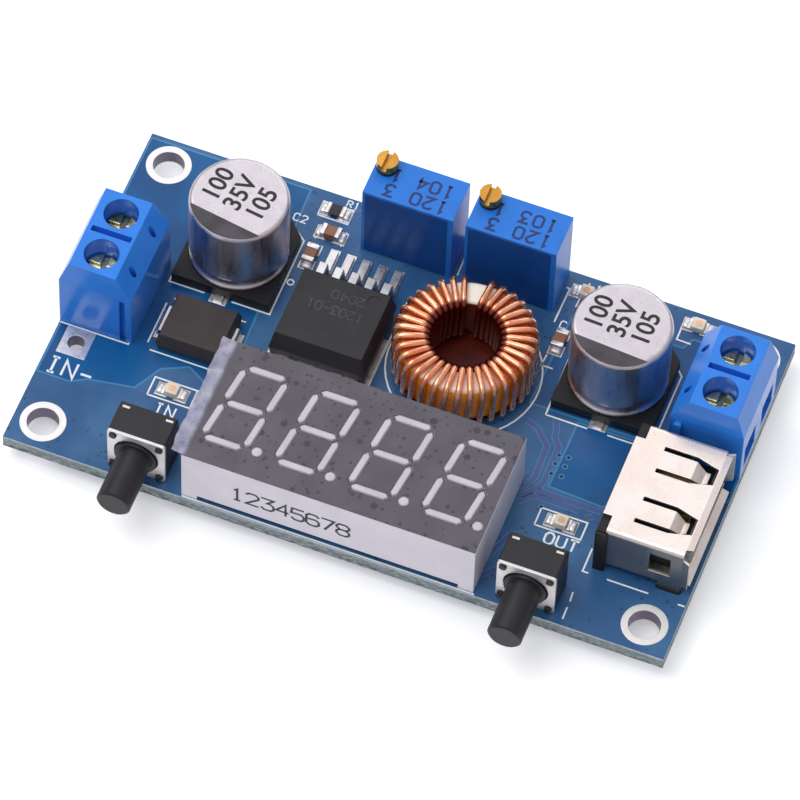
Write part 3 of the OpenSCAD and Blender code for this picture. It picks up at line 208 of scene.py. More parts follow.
GLYPHS = {
    "0": [[(1, 0), (3, 0), (4, 1), (4, 5), (3, 6), (1, 6), (0, 5), (0, 1), (1, 0)]],
    "1": [[(1, 5), (2, 6), (2, 0)], [(1, 0), (3, 0)]],
    "2": [[(0, 5), (1, 6), (3, 6), (4, 5), (4, 4), (0, 0), (4, 0)]],
    "3": [[(0, 6), (4, 6), (2, 3.6), (3, 3.6), (4, 2.6), (4, 1), (3, 0), (1, 0), (0, 1)]],
    "4": [[(3, 0), (3, 6), (0, 2), (4, 2)]],
    "5": [[(4, 6), (0.3, 6), (0, 3.4), (3, 3.6), (4, 2.6), (4, 1), (3, 0), (1, 0), (0, 1)]],
    "6": [[(4, 5), (3, 6), (1, 6), (0, 5), (0, 1), (1, 0), (3, 0), (4, 1), (4, 2.4), (3, 3.4),
           (0.2, 3.2)]],
    "7": [[(0, 6), (4, 6), (1, 0)]],
    "8": [[(1, 3.1), (0, 4.1), (0, 5), (1, 6), (3, 6), (4, 5), (4, 4.1), (3, 3.1), (1, 3.1), (0, 2.1),
           (0, 1), (1, 0), (3, 0), (4, 1), (4, 2.1), (3, 3.1)]],
    "C": [[(4, 5), (3, 6), (1, 6), (0, 5), (0, 1), (1, 0), (3, 0), (4, 1)]],
    "I": [[(0.8, 0), (3.2, 0)], [(2, 0), (2, 6)], [(0.8, 6), (3.2, 6)]],
    "L": [[(0, 6), (0, 0), (4, 0)]],
    "N": [[(0, 0), (0, 6), (4, 0), (4, 6)]],
    "O": [[(1.2, 0), (2.8, 0), (4, 1.4), (4, 4.6), (2.8, 6), (1.2, 6), (0, 4.6), (0, 1.4), (1.2, 0)]],
    "R": [[(0, 0), (0, 6), (3, 6), (4, 5), (4, 4), (3, 3), (0, 3)], [(2, 3), (4, 0)]],
    "T": [[(0, 6), (4, 6)], [(2, 6), (2, 0)]],
    "U": [[(0, 6), (0, 1.2), (1.2, 0), (2.8, 0), (4, 1.2), (4, 6)]],
    "-": [[(0.3, 2.8), (4, 2.8)]],
    " ": [],
}


def lettering(text, x, y, height, angle, line, low, thick, spacing):
    """Plain stroked letters on a level face. A letter's box is 4 by 6 units, and the next one starts
    a box's width times the spacing further on."""
    k = height / 6
    out = []
    for i, letter in enumerate(text):
        for stroke in GLYPHS[letter]:
            points, faces = strip(np.array(stroke) * k + [i * 4 * spacing * k, 0], line, low, low + thick)
            out.append((turned(points, x, y, angle), faces))
    return gather(out)


def put(name, data):
    """A new object in the scene that holds a mesh, a curve, a light or a camera."""
    o = bpy.data.objects.new(name, data)
    bpy.context.scene.collection.objects.link(o)
    return o


def piece(name, shape, material, body=BOARD, smooth=35):
    """Puts (points in millimetres, faces) into a mesh object, closes its seams, turns its faces
    outwards and lets it ride on a body."""
    points, faces = shape
    mesh = bpy.data.meshes.new(name)
    mesh.from_pydata((np.asarray(points) * MM).tolist(), [], faces)
    bm = bmesh.new()
    bm.from_mesh(mesh)
    bmesh.ops.remove_doubles(bm, verts=bm.verts, dist=2e-7)
    bmesh.ops.dissolve_degenerate(bm, dist=1e-8, edges=bm.edges)
    bmesh.ops.recalc_face_normals(bm, faces=bm.faces)
    bm.to_mesh(mesh)
    bm.free()
    mesh.shade_smooth()
    mesh.set_sharp_from_angle(angle=math.radians(smooth))
    mesh.materials.append(material)
    o = put(name, mesh)
    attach(o, body)
    return o


def printed_words(name, words, material, weight):
    """Words in the plain built-in face, as thin solid letters. Each row of words holds the text,
    the place of its middle, the cap height, and the reading and upward directions."""
    parts = []
    for text, middle, height, along, up in words:
        curve = bpy.data.curves.new(name, "FONT")
        curve.body = text
        curve.align_x = "CENTER"
        curve.align_y = "CENTER"
        curve.size = 1.0
        curve.extrude = 0.004
        curve.offset = weight
        curve.resolution_u = 4
        shown = put(name, curve)
        bpy.context.view_layer.update()
        graph = bpy.context.evaluated_depsgraph_get()
        mesh = bpy.data.meshes.new_from_object(shown.evaluated_get(graph))
        bpy.data.objects.remove(shown)
        flat = np.empty(len(mesh.vertices) * 3)
        mesh.vertices.foreach_get("co", flat)
        flat = flat.reshape(-1, 3)
        tall = flat[:, 1].max() - flat[:, 1].min()
        flat[:, :2] -= (flat[:, :2].max(axis=0) + flat[:, :2].min(axis=0)) / 2
        flat[:, :2] *= height / tall
        flat[:, 2] = np.where(flat[:, 2] > 0, 0.012, -0.004)
        along, up = np.array(along, float), np.array(up, float)
        out = np.cross(along, up)
        points = np.array(middle) + flat[:, :1] * along + flat[:, 1:2] * up + flat[:, 2:] * out
        parts.append((points, [list(f.vertices) for f in mesh.polygons]))
        bpy.data.meshes.remove(mesh)
    return piece(name, gather(parts), material)


# ---------- node helpers ----------
def add(tree, kind, inputs=None, **settings):
    """A shader node with its settings, its plain values and its links."""
    n = tree.nodes.new("ShaderNode" + kind)
    for key, value in settings.items():
        setattr(n, key, value)
    for key, value in (inputs or {}).items():
        socket = n.inputs[key]
        if isinstance(value, bpy.types.NodeSocket):
            tree.links.new(value, socket)
        else:
            socket.default_value = value
    return n


def maths(tree, operation, a, b=None, c=None):
    """One sum of a few sockets or numbers."""
    inputs = {i: v for i, v in enumerate((a, b, c)) if v is not None}
    return add(tree, "Math", inputs, operation=operation).outputs[0]


def hex_colour(code):
    """A written colour such as 2f86e0 as linear light."""
    c = np.array([int(code[i:i + 2], 16) for i in (0, 2, 4)]) / 255
    return tuple(float(v) for v in np.where(c <= 0.04045, c / 12.92, ((c + 0.055) / 1.055) ** 2.4))


def blend(tree, amount, a, b):
    """Mixes two colours. Each is a socket, a tuple of linear light or a written colour."""
    n = add(tree, "Mix", {0: amount}, data_type="RGBA")
    for key, value in ((6, a), (7, b)):
        if isinstance(value, bpy.types.NodeSocket):
            tree.links.new(value, n.inputs[key])
        else:
            light = hex_colour(value) if isinstance(value, str) else value
            n.inputs[key].default_value = (*light, 1)
    return n.outputs[2]


def ramp(tree, value, low, high):
    """0 below low, 1 above high."""
    return add(tree, "MapRange", {0: value, 1: low, 2: high, 3: 0.0, 4: 1.0},
               interpolation_type="SMOOTHSTEP").outputs[0]


def spread(tree, noise, low, high, start=0.3, stop=0.7):
    """Carries a noise from the range in which most of it lies to the range from low to high."""
    return add(tree, "MapRange", {0: noise, 1: start, 2: stop, 3: low, 4: high}).outputs[0]


def drifting(tree, grain, a, b, start=0.3, stop=0.7):
    """Two tones that follow each other with a slow noise."""
    return blend(tree, ramp(tree, grain["Drift"], start, stop), a, b)


def object_place(tree):
    """Object coordinates, in metres."""
    return add(tree, "TexCoord").outputs["Object"]


def scaled_place(tree, scale):
    """Object coordinates, each axis times its own number."""
    return add(tree, "VectorMath", {0: object_place(tree), 1: scale}, operation="MULTIPLY").outputs[0]


def place_in_mm(tree):
    """Object coordinates in millimetres."""
    return add(tree, "VectorMath", {0: object_place(tree), 3: 1 / MM}, operation="SCALE").outputs[0]


def upward_part(tree):
    """How far a face looks up: 1 on top, 0 on a wall, -1 underneath."""
    normal = add(tree, "NewGeometry").outputs["Normal"]
    return add(tree, "SeparateXYZ", {0: normal}).outputs[2]


def from_coil_axis(tree):
    """Object coordinates counted from the coil's axis."""
    axis = (coil_x * MM, coil_y * MM, 0)
    return add(tree, "VectorMath", {0: object_place(tree), 1: axis}, operation="SUBTRACT").outputs[0]


def group(name, inputs, outputs, build):
    """A shader node group with named sockets. build makes its nodes and names what they put out."""
    tree = bpy.data.node_groups.new(name, "ShaderNodeTree")
    for label, kind, value in inputs:
        tree.interface.new_socket(label, in_out="INPUT", socket_type=kind).default_value = value
    for label, kind in outputs:
        tree.interface.new_socket(label, in_out="OUTPUT", socket_type=kind)
    source = tree.nodes.new("NodeGroupInput")
    sink = tree.nodes.new("NodeGroupOutput")
    for label, socket in build(tree, source.outputs).items():
        tree.links.new(socket, sink.inputs[label])
    return tree


FLOAT, VECTOR = "NodeSocketFloat", "NodeSocketVector"


def build_grain(tree, given):
    """Fine moulded grain and slow drift of tone, both from noise over the piece in millimetres."""
    mm = place_in_mm(tree)
    fine = add(tree, "TexNoise", {"Vector": mm, "Scale": given["Fine"], "Detail": 3.0}).outputs[0]
    slow = add(tree, "TexNoise", {"Vector": mm, "Scale": given["Slow"], "Detail": 2.0}).outputs[0]
    return {"Grain": fine, "Drift": slow}


def build_soft_edge(tree, given):
    """Rounds the edges for light, and marks them: 1 where the rounded normal leaves the face."""
    bevel = add(tree, "Bevel", {"Radius": given["Radius"]}, samples=6).outputs[0]
    face = add(tree, "NewGeometry").outputs["Normal"]
    same = add(tree, "VectorMath", {0: bevel, 1: face}, operation="DOT_PRODUCT").outputs["Value"]
    return {"Normal": bevel, "Edge": ramp(tree, same, 0.995, 0.75)}


def build_specks(tree, given):
    """Sparse round specks on level faces: discs of uneven size round the points of a flat Voronoi
    pattern, kept where a noise is high."""
    mm = place_in_mm(tree)
    cells = add(tree, "TexVoronoi", {"Vector": mm, "Scale": given["Scale"]}, feature="F1",
                voronoi_dimensions="2D").outputs
    size = add(tree, "TexWhiteNoise", {"Vector": cells["Position"]},
               noise_dimensions="3D").outputs[0]
    reach = maths(tree, "MULTIPLY", size, given["Size"])
    inside = maths(tree, "LESS_THAN", cells["Distance"], reach)
    noise = add(tree, "TexNoise", {"Vector": mm, "Scale": 0.35}).outputs[0]
    kept = maths(tree, "GREATER_THAN", noise, given["Rarity"])
    return {"Mask": maths(tree, "MULTIPLY", inside, kept)}


GRAIN = group("moulded_grain", [("Fine", FLOAT, 8.0), ("Slow", FLOAT, 0.4)],
              [("Grain", FLOAT), ("Drift", FLOAT)], build_grain)
SOFT_EDGE = group("soft_edge", [("Radius", FLOAT, 0.0001)],
                  [("Normal", VECTOR), ("Edge", FLOAT)], build_soft_edge)
SPECKS = group("dust_specks", [("Scale", FLOAT, 1.5), ("Size", FLOAT, 0.2), ("Rarity", FLOAT, 0.5)],
               [("Mask", FLOAT)], build_specks)


def place(tree, which, **inputs):
    """Puts a group into a tree with its own values."""
    n = tree.nodes.new("ShaderNodeGroup")
    n.node_tree = which
    for key, value in inputs.items():
        n.inputs[key].default_value = value
    return n.outputs


class Finish:
    """A material under construction: its tree, its Principled shader and what is common to all."""

    def __init__(self, name, **plain):
        self.material = bpy.data.materials.new(name)
        self.material.use_nodes = True
        self.tree = self.material.node_tree
        self.tree.nodes.clear()
        self.shader = add(self.tree, "BsdfPrincipled")
        self.out = add(self.tree, "OutputMaterial", {"Surface": self.shader.outputs[0]})
        for key, value in plain.items():
            self.shader.inputs[key.replace("_", " ")].default_value = value

    def link(self, socket, name):
        self.tree.links.new(socket, self.shader.inputs[name])

    def bump(self, height, strength, distance, normal=None):
        """Raises the surface by a height that varies, distance in millimetres."""
        inputs = {"Height": height, "Strength": strength, "Distance": distance * MM}
        if normal is not None:
            inputs["Normal"] = normal
        self.link(add(self.tree, "Bump", inputs).outputs[0], "Normal")


def moulded(name, colour, rough, edge=0.1, fine=9.0, strength=0.12, drift=0.12, painted_light=(1.25, 0.5), **plain):
    """A moulded or painted surface: its tone drifts, its edges get a painted highlight, paler than the face,
    and fine grain raises it. The highlight's pair of numbers says how much paler the edges are and how far
    that shows."""
    f = Finish(name, **plain)
    t = f.tree
    colour = hex_colour(colour)
    grain = place(t, GRAIN, Fine=fine, Slow=0.35)
    soft = place(t, SOFT_EDGE, Radius=edge * MM)
    dark = tuple(c * (1 - drift) for c in colour)
    pale = tuple(min(c * (1 + drift), 1) for c in colour)
    # Painted highlight: the edges are paled towards a lighter copy of the colour.
    lit = tuple(min(c * painted_light[0] + 0.01, 1) for c in colour)
    edge_part = maths(t, "MULTIPLY", soft["Edge"], painted_light[1])
    f.link(blend(t, edge_part, drifting(t, grain, dark, pale), lit), "Base Color")
    f.link(spread(t, grain["Grain"], rough * 0.8, rough * 1.2), "Roughness")
    f.bump(grain["Grain"], strength, 0.02, soft["Normal"])
    return f.material


def metal(name, colour, rough, edge=0.06, streak=(1, 1, 1), strength=0.1, drift=0.1, fine=6.0, tint=None,
          **plain):
    """Bare or plated metal: its tone drifts towards a darker tint, and a noise, stretched along an
    axis where streak is small, varies its roughness and raises it."""
    plain.setdefault("Metallic", 1.0)
    f = Finish(name, **plain)
    t = f.tree
    scaled = scaled_place(t, tuple(s / MM for s in streak))
    lines = add(t, "TexNoise", {"Vector": scaled, "Scale": fine, "Detail": 4.0}).outputs[0]
    grain = place(t, GRAIN, Fine=14.0, Slow=0.6)
    soft = place(t, SOFT_EDGE, Radius=edge * MM)
    dark = tuple(c * (1 - drift) for c in hex_colour(tint or colour))
    tone = drifting(t, grain, dark, colour, 0.35, 0.65)
    # Painted highlight: the edges are paled towards white.
    edge_part = maths(t, "MULTIPLY", soft["Edge"], 0.35)
    f.link(blend(t, edge_part, tone, (0.95, 0.95, 0.95)), "Base Color")
    f.link(spread(t, lines, rough * 0.7, rough * 1.3), "Roughness")
    f.bump(lines, strength, 0.01, soft["Normal"])
    return f.material


# ---------- materials ----------
MASK_ROUGHNESS = 0.24


def solder_mask(name, light, shade, cut_sides=True, specks=0.0):
    """Glossy blue lacquer over glass-fibre laminate: it drifts in tone, is rippled, and the cut sides
    of the board show pale fibres, palest under the upper edge."""
    f = Finish(name, IOR=1.42)
    t = f.tree
    grain = place(t, GRAIN, Fine=5.0, Slow=0.16)
    tone = drifting(t, grain, shade, light, 0.35, 0.65)
    if specks:
        dust = place(t, SPECKS, Scale=0.9, Size=0.2, Rarity=0.46)["Mask"]
        tone = blend(t, maths(t, "MULTIPLY", dust, specks), tone, "1a3f66")
    if cut_sides:
        layers = scaled_place(t, (900.0, 900.0, 2600.0))
        fibre = add(t, "TexNoise", {"Vector": layers, "Scale": 2.2, "Detail": 5.0}).outputs[0]
        height = add(t, "SeparateXYZ", {0: object_place(t)}).outputs[2]
        body = blend(t, ramp(t, height, 0.1 * MM, 0.9 * MM), "46545c", "6c7b83")
        body = blend(t, ramp(t, height, 1.2 * MM, 1.5 * MM), body, "ced6d6")
        cut = blend(t, ramp(t, fibre, 0.35, 0.7), body, "a4afb2")
        side = maths(t, "LESS_THAN", maths(t, "ABSOLUTE", upward_part(t)), 0.5)
        tone = blend(t, side, tone, cut)
        f.link(maths(t, "MULTIPLY_ADD", side, 0.45, MASK_ROUGHNESS), "Roughness")
    else:
        f.shader.inputs["Roughness"].default_value = MASK_ROUGHNESS
    soft = place(t, SOFT_EDGE, Radius=0.03 * MM)
    f.link(tone, "Base Color")
    f.bump(grain["Grain"], 0.08, 0.02, soft["Normal"])
    return f.material


MASK = solder_mask("solder_mask_blue", "3c6a98", "2b598a", specks=0.6)
MASK_COPPER = solder_mask("solder_mask_on_copper", "0a5a96", "0a4c84", cut_sides=False)
MASK_RIM = solder_mask("solder_mask_at_copper_edge", "4386b6", "387aac", cut_sides=False)
MASK_TRACE = solder_mask("solder_mask_on_trace", "4f5f96", "46558c", cut_sides=False)
DULL = {"Specular_IOR_Level": 0.35}
SILK = moulded("silk_print_white", "eef2f6", 0.45, edge=0.01, strength=0.05, drift=0.03)
INK = moulded("printing_ink_black", "17161a", 0.5, edge=0.01, strength=0.05, drift=0.1)
CAN_INK = moulded("can_segment_ink", "413d45", 0.55, edge=0.01, strength=0.5, drift=0.35)
NAVY_INK = moulded("trimmer_figures_ink", "0d2c70", 0.5, edge=0.01, strength=0.05, drift=0.05)
ETCH = moulded("etched_epoxy", "4c4a4f", 0.7, edge=0.01, fine=10.0, strength=0.4, drift=0.3)
TIN = metal("tin_plating", "e0dcdd", 0.36, drift=0.18, strength=0.08, fine=2.5)
# Painted reflection: a whiter, less metallic copy of the tin for the mounting rings.
RING_TIN = metal("ring_tin_plating", "f2efee", 0.42, drift=0.05, strength=0.04, fine=2.5, Metallic=0.55)
BARREL = metal("barrel_plating", "7b7284", 0.4, drift=0.2, strength=0.08)
SOLDER = metal("soft_solder", "e8e4e4", 0.32, drift=0.12, strength=0.06, fine=2.0, Metallic=0.5)
TERMINAL = moulded("terminal_blue_plastic", "3282e6", 0.2, edge=0.12, fine=7.0, strength=0.02, drift=0.04,
                   painted_light=(1.4, 0.5), Specular_IOR_Level=0.36)
CLAMP = metal("clamp_screw_zinc", "ece4b8", 0.24, edge=0.2, tint="a39850", drift=0.2, strength=0.08,
              fine=2.0)
CAGE = metal("wire_cage_zinc", "c9cac2", 0.34, strength=0.08)
CAN = metal("drawn_aluminium", "d0c9d0", 0.36, edge=0.3, streak=(1, 1, 0.08), fine=3.0, strength=0.03,
            drift=0.06)
# Painted highlight: the bead is whiter and less metallic than the can's aluminium.
CAN_BEAD = metal("rolled_aluminium_bead", "fbf8fa", 0.3, drift=0.03, strength=0.02, Metallic=0.45)
BLACK = moulded("black_moulding", "151416", 0.5, edge=0.08, fine=8.0, strength=0.2, painted_light=(1.8, 0.4), **DULL)
EPOXY = moulded("chip_epoxy", "2c2a2e", 0.6, fine=11.0, strength=0.4, painted_light=(1.5, 0.5), **DULL)
DIODE = moulded("diode_epoxy", "3a3434", 0.5, edge=0.12, fine=11.0, strength=0.35, painted_light=(1.6, 0.5), **DULL)
HOUSING = moulded("display_white_plastic", "e3deea", 0.4, strength=0.08, drift=0.03, painted_light=(1.1, 0.3))
SEGMENT = moulded("segment_resin_grey", "cbc6cf", 0.32, edge=0.08, fine=7.0, strength=0.1, drift=0.06)
PLATE = moulded("bare_laminate", "c9c092", 0.6, fine=4.0)
BUTTON = moulded("button_black_plastic", "201f23", 0.45, edge=0.12, fine=8.0, strength=0.15,
                 painted_light=(1.6, 0.5), Specular_IOR_Level=0.4)
COVER = metal("stamped_steel_cover", "e8e4e6", 0.36, edge=0.08, streak=(0.2, 1, 1), fine=5.0,
              strength=0.03, Metallic=0.6)
GOLD = metal("gold_contacts", "a37f3a", 0.3)
BRASS = metal("turned_brass", "dda24c", 0.28, streak=(1, 1, 0.2), drift=0.2, strength=0.08)
TRIMMER = moulded("trimmer_blue_plastic", "1f76d8", 0.34, edge=0.09, strength=0.1, drift=0.05,
                  painted_light=(1.4, 0.4), **DULL)
PANEL = moulded("trimmer_front_navy", "104a98", 0.4, edge=0.04, fine=6.0, strength=0.02, drift=0.08,
                painted_light=(1.1, 0.2), Specular_IOR_Level=0.25)
SEAL = moulded("seal_rubber", "0d0c0e", 0.5, edge=0.08)
GLAZE = moulded("resistor_glaze", "1a1a1e", 0.25, edge=0.06)
CERAMIC = moulded("capacitor_ceramic", "8f5f42", 0.45, edge=0.08, drift=0.2)
LAMP = moulded("lamp_resin", "f3e2cc", 0.2, edge=0.08, drift=0.05, Subsurface_Weight=0.2)
LAMP_DIE = moulded("lamp_die_amber", "e8b48c", 0.4, edge=0.05, drift=0.2)
# Painted shade: the dark brown finish of the disc under the coil's bore.
BORE_SHADE = moulded("coil_bore_painted_shade", "55190f", 0.3, edge=0.02, drift=0.3)


def shell_material():
    """Nickel-plated sheet: near white with a warm cast where it lies level, with painted shade, a darker
    grey, on the walls and a painted highlight on the edges.
    """
    f = Finish("nickel_plated_sheet", Metallic=0.8)
    t = f.tree
    grain = place(t, GRAIN, Fine=9.0, Slow=0.3)
    soft = place(t, SOFT_EDGE, Radius=0.08 * MM)
    level = drifting(t, grain, "f6e6de", "fbf0ea", 0.35, 0.65)
    # Painted shade: walls are a darker grey than level faces; the edges get a painted highlight.
    tone = blend(t, ramp(t, upward_part(t), 0.2, 0.7), "7d8288", level)
    f.link(blend(t, maths(t, "MULTIPLY", soft["Edge"], 0.5), tone, "f4f0ee"), "Base Color")
    f.link(spread(t, grain["Grain"], 0.26, 0.4), "Roughness")
    f.bump(grain["Grain"], 0.06, 0.01, soft["Normal"])
    return f.material


NICKEL = shell_material()


def display_face_material():
    """A grey-purple printed face with dark dust specks of two sizes and a slow drift of tone."""
    f = Finish("display_face_grey")
    t = f.tree
    grain = place(t, GRAIN, Fine=6.0, Slow=0.25)
    big = place(t, SPECKS, Scale=0.5, Size=0.2, Rarity=0.46)["Mask"]
    small = place(t, SPECKS, Scale=1.1, Size=0.2, Rarity=0.46)["Mask"]
    tone = drifting(t, grain, "474149", "534d56")
    spots = maths(t, "MAXIMUM", big, small)
    f.link(blend(t, maths(t, "MULTIPLY", spots, 0.95), tone, "1c181d"), "Base Color")
    f.shader.inputs["Roughness"].default_value = 0.38
    f.bump(maths(t, "SUBTRACT", grain["Grain"], spots), 0.2, 0.03)
    return f.material


FACE = display_face_material()


def copper_material():
    """Enamelled copper wire: orange metal under a clear coat, a little browner in patches, and dark red-brown
    inside the ring with painted shade, which the distance from the ring's axis picks."""
    f = Finish("enamelled_copper", Metallic=0.9, Coat_Weight=0.8, Coat_Roughness=0.05)
    t = f.tree
    grain = place(t, GRAIN, Fine=3.0, Slow=0.5)
    level = add(t, "VectorMath", {0: from_coil_axis(t), 1: (1, 1, 0)}, operation="MULTIPLY")
    reach = add(t, "VectorMath", {0: level.outputs[0]}, operation="LENGTH").outputs["Value"]
    # Painted shade: the wire inside the ring turns dark red-brown.
    bore = ramp(t, reach, (CORE_BORE_R + 0.3) * MM, (CORE_BORE_R - 0.2) * MM)
    f.link(blend(t, bore, drifting(t, grain, "f0966a", "ffbe9a"), "8a3420"), "Base Color")
    f.link(spread(t, grain["Grain"], 0.2, 0.28), "Roughness")
    f.bump(grain["Grain"], 0.03, 0.01)
    return f.material


COPPER = copper_material()


def core_material():
    """A coated iron powder ring: amber outside, and painted shade, dark red-brown, in the bore. Its upper end
    face is pale paint, shown cream at the front and in the winding's gap; elsewhere it gets painted shade and
    a painted reflection of the copper, red-brown. The angle round the ring picks the front and the gap, and
    the height, waved by a noise, the end face."""
    f = Finish("ring_core_coating", Coat_Weight=0.3, Coat_Roughness=0.12)
    t = f.tree
    grain = place(t, GRAIN, Fine=8.0, Slow=0.5)
    soft = place(t, SOFT_EDGE, Radius=0.1 * MM)
    part = add(t, "SeparateXYZ", {0: from_coil_axis(t)}).outputs
    angle = maths(t, "ARCTAN2", part[1], part[0])

    def near(degrees, start, stop):
        """1 within start degrees of a direction round the ring, fading to 0 at stop degrees."""
        apart = maths(t, "ABSOLUTE", maths(t, "SUBTRACT", angle, math.radians(degrees)))
        return ramp(t, apart, math.radians(stop), math.radians(start))

    wave = maths(t, "MULTIPLY_ADD", grain["Drift"], 0.2 * MM, part[2])
    end_face = ramp(t, wave, (core_high[2] - 0.25) * MM, (core_high[2] - 0.08) * MM)
    squares = [maths(t, "POWER", part[axis], 2.0) for axis in (0, 1)]
    reach = maths(t, "POWER", maths(t, "ADD", *squares), 0.5)
    # Painted shade: dark red-brown in the bore.
    bore = ramp(t, reach, (CORE_BORE_R + 0.45) * MM, (CORE_BORE_R + 0.05) * MM)
    # Painted shade and painted reflection of the copper: the end face is red-brown away from the front.
    end_face_shade = blend(t, near(-80, 22, 50), "b4552a", "f4dccb")
    painted_light = blend(t, end_face, drifting(t, grain, "e8950f", "ffb526"), end_face_shade)
    painted_light = blend(t, bore, painted_light, "6a2412")
    paint = maths(t, "MULTIPLY", end_face, near(GAP_AT, 20, 26))
    f.link(blend(t, paint, painted_light, "f4ecdc"), "Base Color")
    f.shader.inputs["Roughness"].default_value = 0.3
    f.bump(grain["Grain"], 0.25, 0.03, soft["Normal"])
    return f.material


CORE = core_material()


def film_material():
    """Clear film: nearly unseen where it lies on the face, milky and creased where it hangs over."""
    f = Finish("protective_film", Roughness=0.2)
    t = f.tree
    x = add(t, "SeparateXYZ", {0: object_place(t)}).outputs[0]
    milky = ramp(t, x, (display_low[0] + 0.5) * MM, (display_low[0] - 0.1) * MM)
    grain = place(t, GRAIN, Fine=1.2, Slow=0.7)
    cloud = spread(t, grain["Drift"], 0.4, 0.8, 0.35, 0.65)
    veil = maths(t, "MULTIPLY", milky, cloud)
    f.link(maths(t, "MULTIPLY_ADD", veil, 0.9, 0.03), "Alpha")
    f.link(blend(t, grain["Grain"], "8583a2", "dcdaea"), "Base Color")
    f.bump(grain["Grain"], 0.6, 0.1)
    return f.material


FILM = film_material()

NODE_FINISH = {
    "circuit_board": MASK, "solder_pads": TIN, "solder_joints": SOLDER, "mounting_rings": RING_TIN,
    "inductor_core": CORE, "inductor_winding": COPPER,
    "regulator_body": EPOXY, "regulator_lead_frame": TIN, "diode_body": DIODE, "diode_leads": TIN,
    "display_housing": HOUSING, "display_face": FACE, "display_segments": SEGMENT,
    "display_circuit_plate": PLATE, "display_pins": TIN, "display_film": FILM,
    "usb_shell": NICKEL, "usb_insulator": BLACK, "usb_contacts": GOLD,
    "status_lamps": LAMP, "chip_resistors": GLAZE, "chip_capacitors": CERAMIC,
    "underside_chips": EPOXY, "underside_chip_leads": TIN,
}
REPEATED_FINISH = [
    (("input", "output"), {
        "terminal_housing": TERMINAL, "terminal_strips": TIN, "capacitor_can": CAN, "capacitor_base": BLACK,
        "capacitor_leads": TIN, "screw_front": CLAMP, "screw_back": CLAMP, "cage_front": CAGE,
        "cage_back": CAGE}),
    (("left_button", "right_button"), {
        "case": BUTTON, "cover": COVER, "plunger": BUTTON, "dome": COVER, "terminals": TIN}),
    (("voltage_trimmer", "current_trimmer"), {
        "housing": TRIMMER, "seal": SEAL, "screw": BRASS, "pins": TIN}),
]
for owners, finishes in REPEATED_FINISH:
    for owner in owners:
        for part, finish in finishes.items():
            NODE_FINISH[f"{owner}_{part}"] = finish
for node, finish in NODE_FINISH.items():
    slots = NODES[node].material_slots
    if not slots:
        NODES[node].data.materials.append(finish)
    for s in slots:
        s.material = finish

# ---------- inductor winding ----------
SLACK = 0.06
STEP = (360 - GAP) / TURNS
START = GAP_AT + GAP / 2
BELOW_BOARD = 1.6


def winding():
    """One wire wound round the ring. In the ring's section it follows a rectangle with round corners:
    each quarter bend is an arc about a corner, and the legs between the arcs are straight. While the
    section is travelled once, the direction round the ring advances by one step, and each turn leans a
    little, by a sine. Both ends go down through the board."""
    outer = (core_high[0] - core_low[0]) / 2 + SLACK + WIRE_R
    inner = CORE_BORE_R - SLACK - WIRE_R
    low, high = core_low[2] - SLACK - WIRE_R, core_high[2] + SLACK + WIRE_R
    bend = 0.5 + SLACK + WIRE_R
    arc = np.radians(np.linspace(0, 90, 7))
    corners = [(outer - bend, high - bend, 0), (inner + bend, high - bend, 90),
               (inner + bend, low + bend, 180), (outer - bend, low + bend, 270)]
    r = np.concatenate([cr + bend * np.cos(arc + math.radians(a)) for cr, cz, a in corners])
    z = np.concatenate([cz + bend * np.sin(arc + math.radians(a)) for cr, cz, a in corners])
    leg = np.hypot(np.diff(r, append=r[0]), np.diff(z, append=z[0]))
    along = np.concatenate([[0], np.cumsum(leg)[:-1]]) / leg.sum()
    rng = np.random.default_rng(7)
    turn = np.arange(TURNS)[:, None]
    lean = rng.normal(0, 0.045, (TURNS, 1)) * np.sin(2 * np.pi * along)
    t = np.radians(START + STEP * (turn + along + lean)).ravel()
    r, z = np.tile(r, TURNS), np.tile(z, TURNS)
    path = np.stack([r * np.cos(t), r * np.sin(t), z], axis=1)[:-len(arc)]
    foot = board_low[2] - BELOW_BOARD
    leads = []
    for degrees, places in (
            (START, ((outer, foot), (outer, 0.5), (outer, low + bend * 0.6))),
            (START + STEP * TURNS + STEP / 2,
             ((inner + bend, low), (outer - 0.6, low), (outer - 0.17, low - 0.1), (outer, low - 0.35),
              (outer, foot)))):
        a = math.radians(degrees)
        leads.append(np.array([(reach * math.cos(a), reach * math.sin(a), h) for reach, h in places]))
    path = np.concatenate([leads[0], path, leads[1]])
    side = np.stack([-path[:, 1], path[:, 0], 0 * path[:, 0]], axis=1)
    return tube(path + [coil_x, coil_y, 0], WIRE_R, unit(side))


wire = piece("copper_winding", winding(), COPPER, smooth=60)
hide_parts("inductor_winding")

# ---------- display segments ----------
display_mid = (display_low + display_high) / 2
FACE_TOP = float(span("display_face")[1][2])


DIGIT_PITCH = 7.55
DIGIT_HEIGHT, DIGIT_WIDTH = 8.85, 4.3
DIGIT_SLANT = 7
BAR_WIDTH = 0.9
WELL_DEPTH = 1.2


def bar_outline(length, width):
    """A bar along X with pointed ends, as six corners."""
    w = width / 2
    h = length / 2
    return np.array([[h, 0], [h - w, w], [w - h, w], [-h, 0], [w - h, -w], [h - w, -w]])


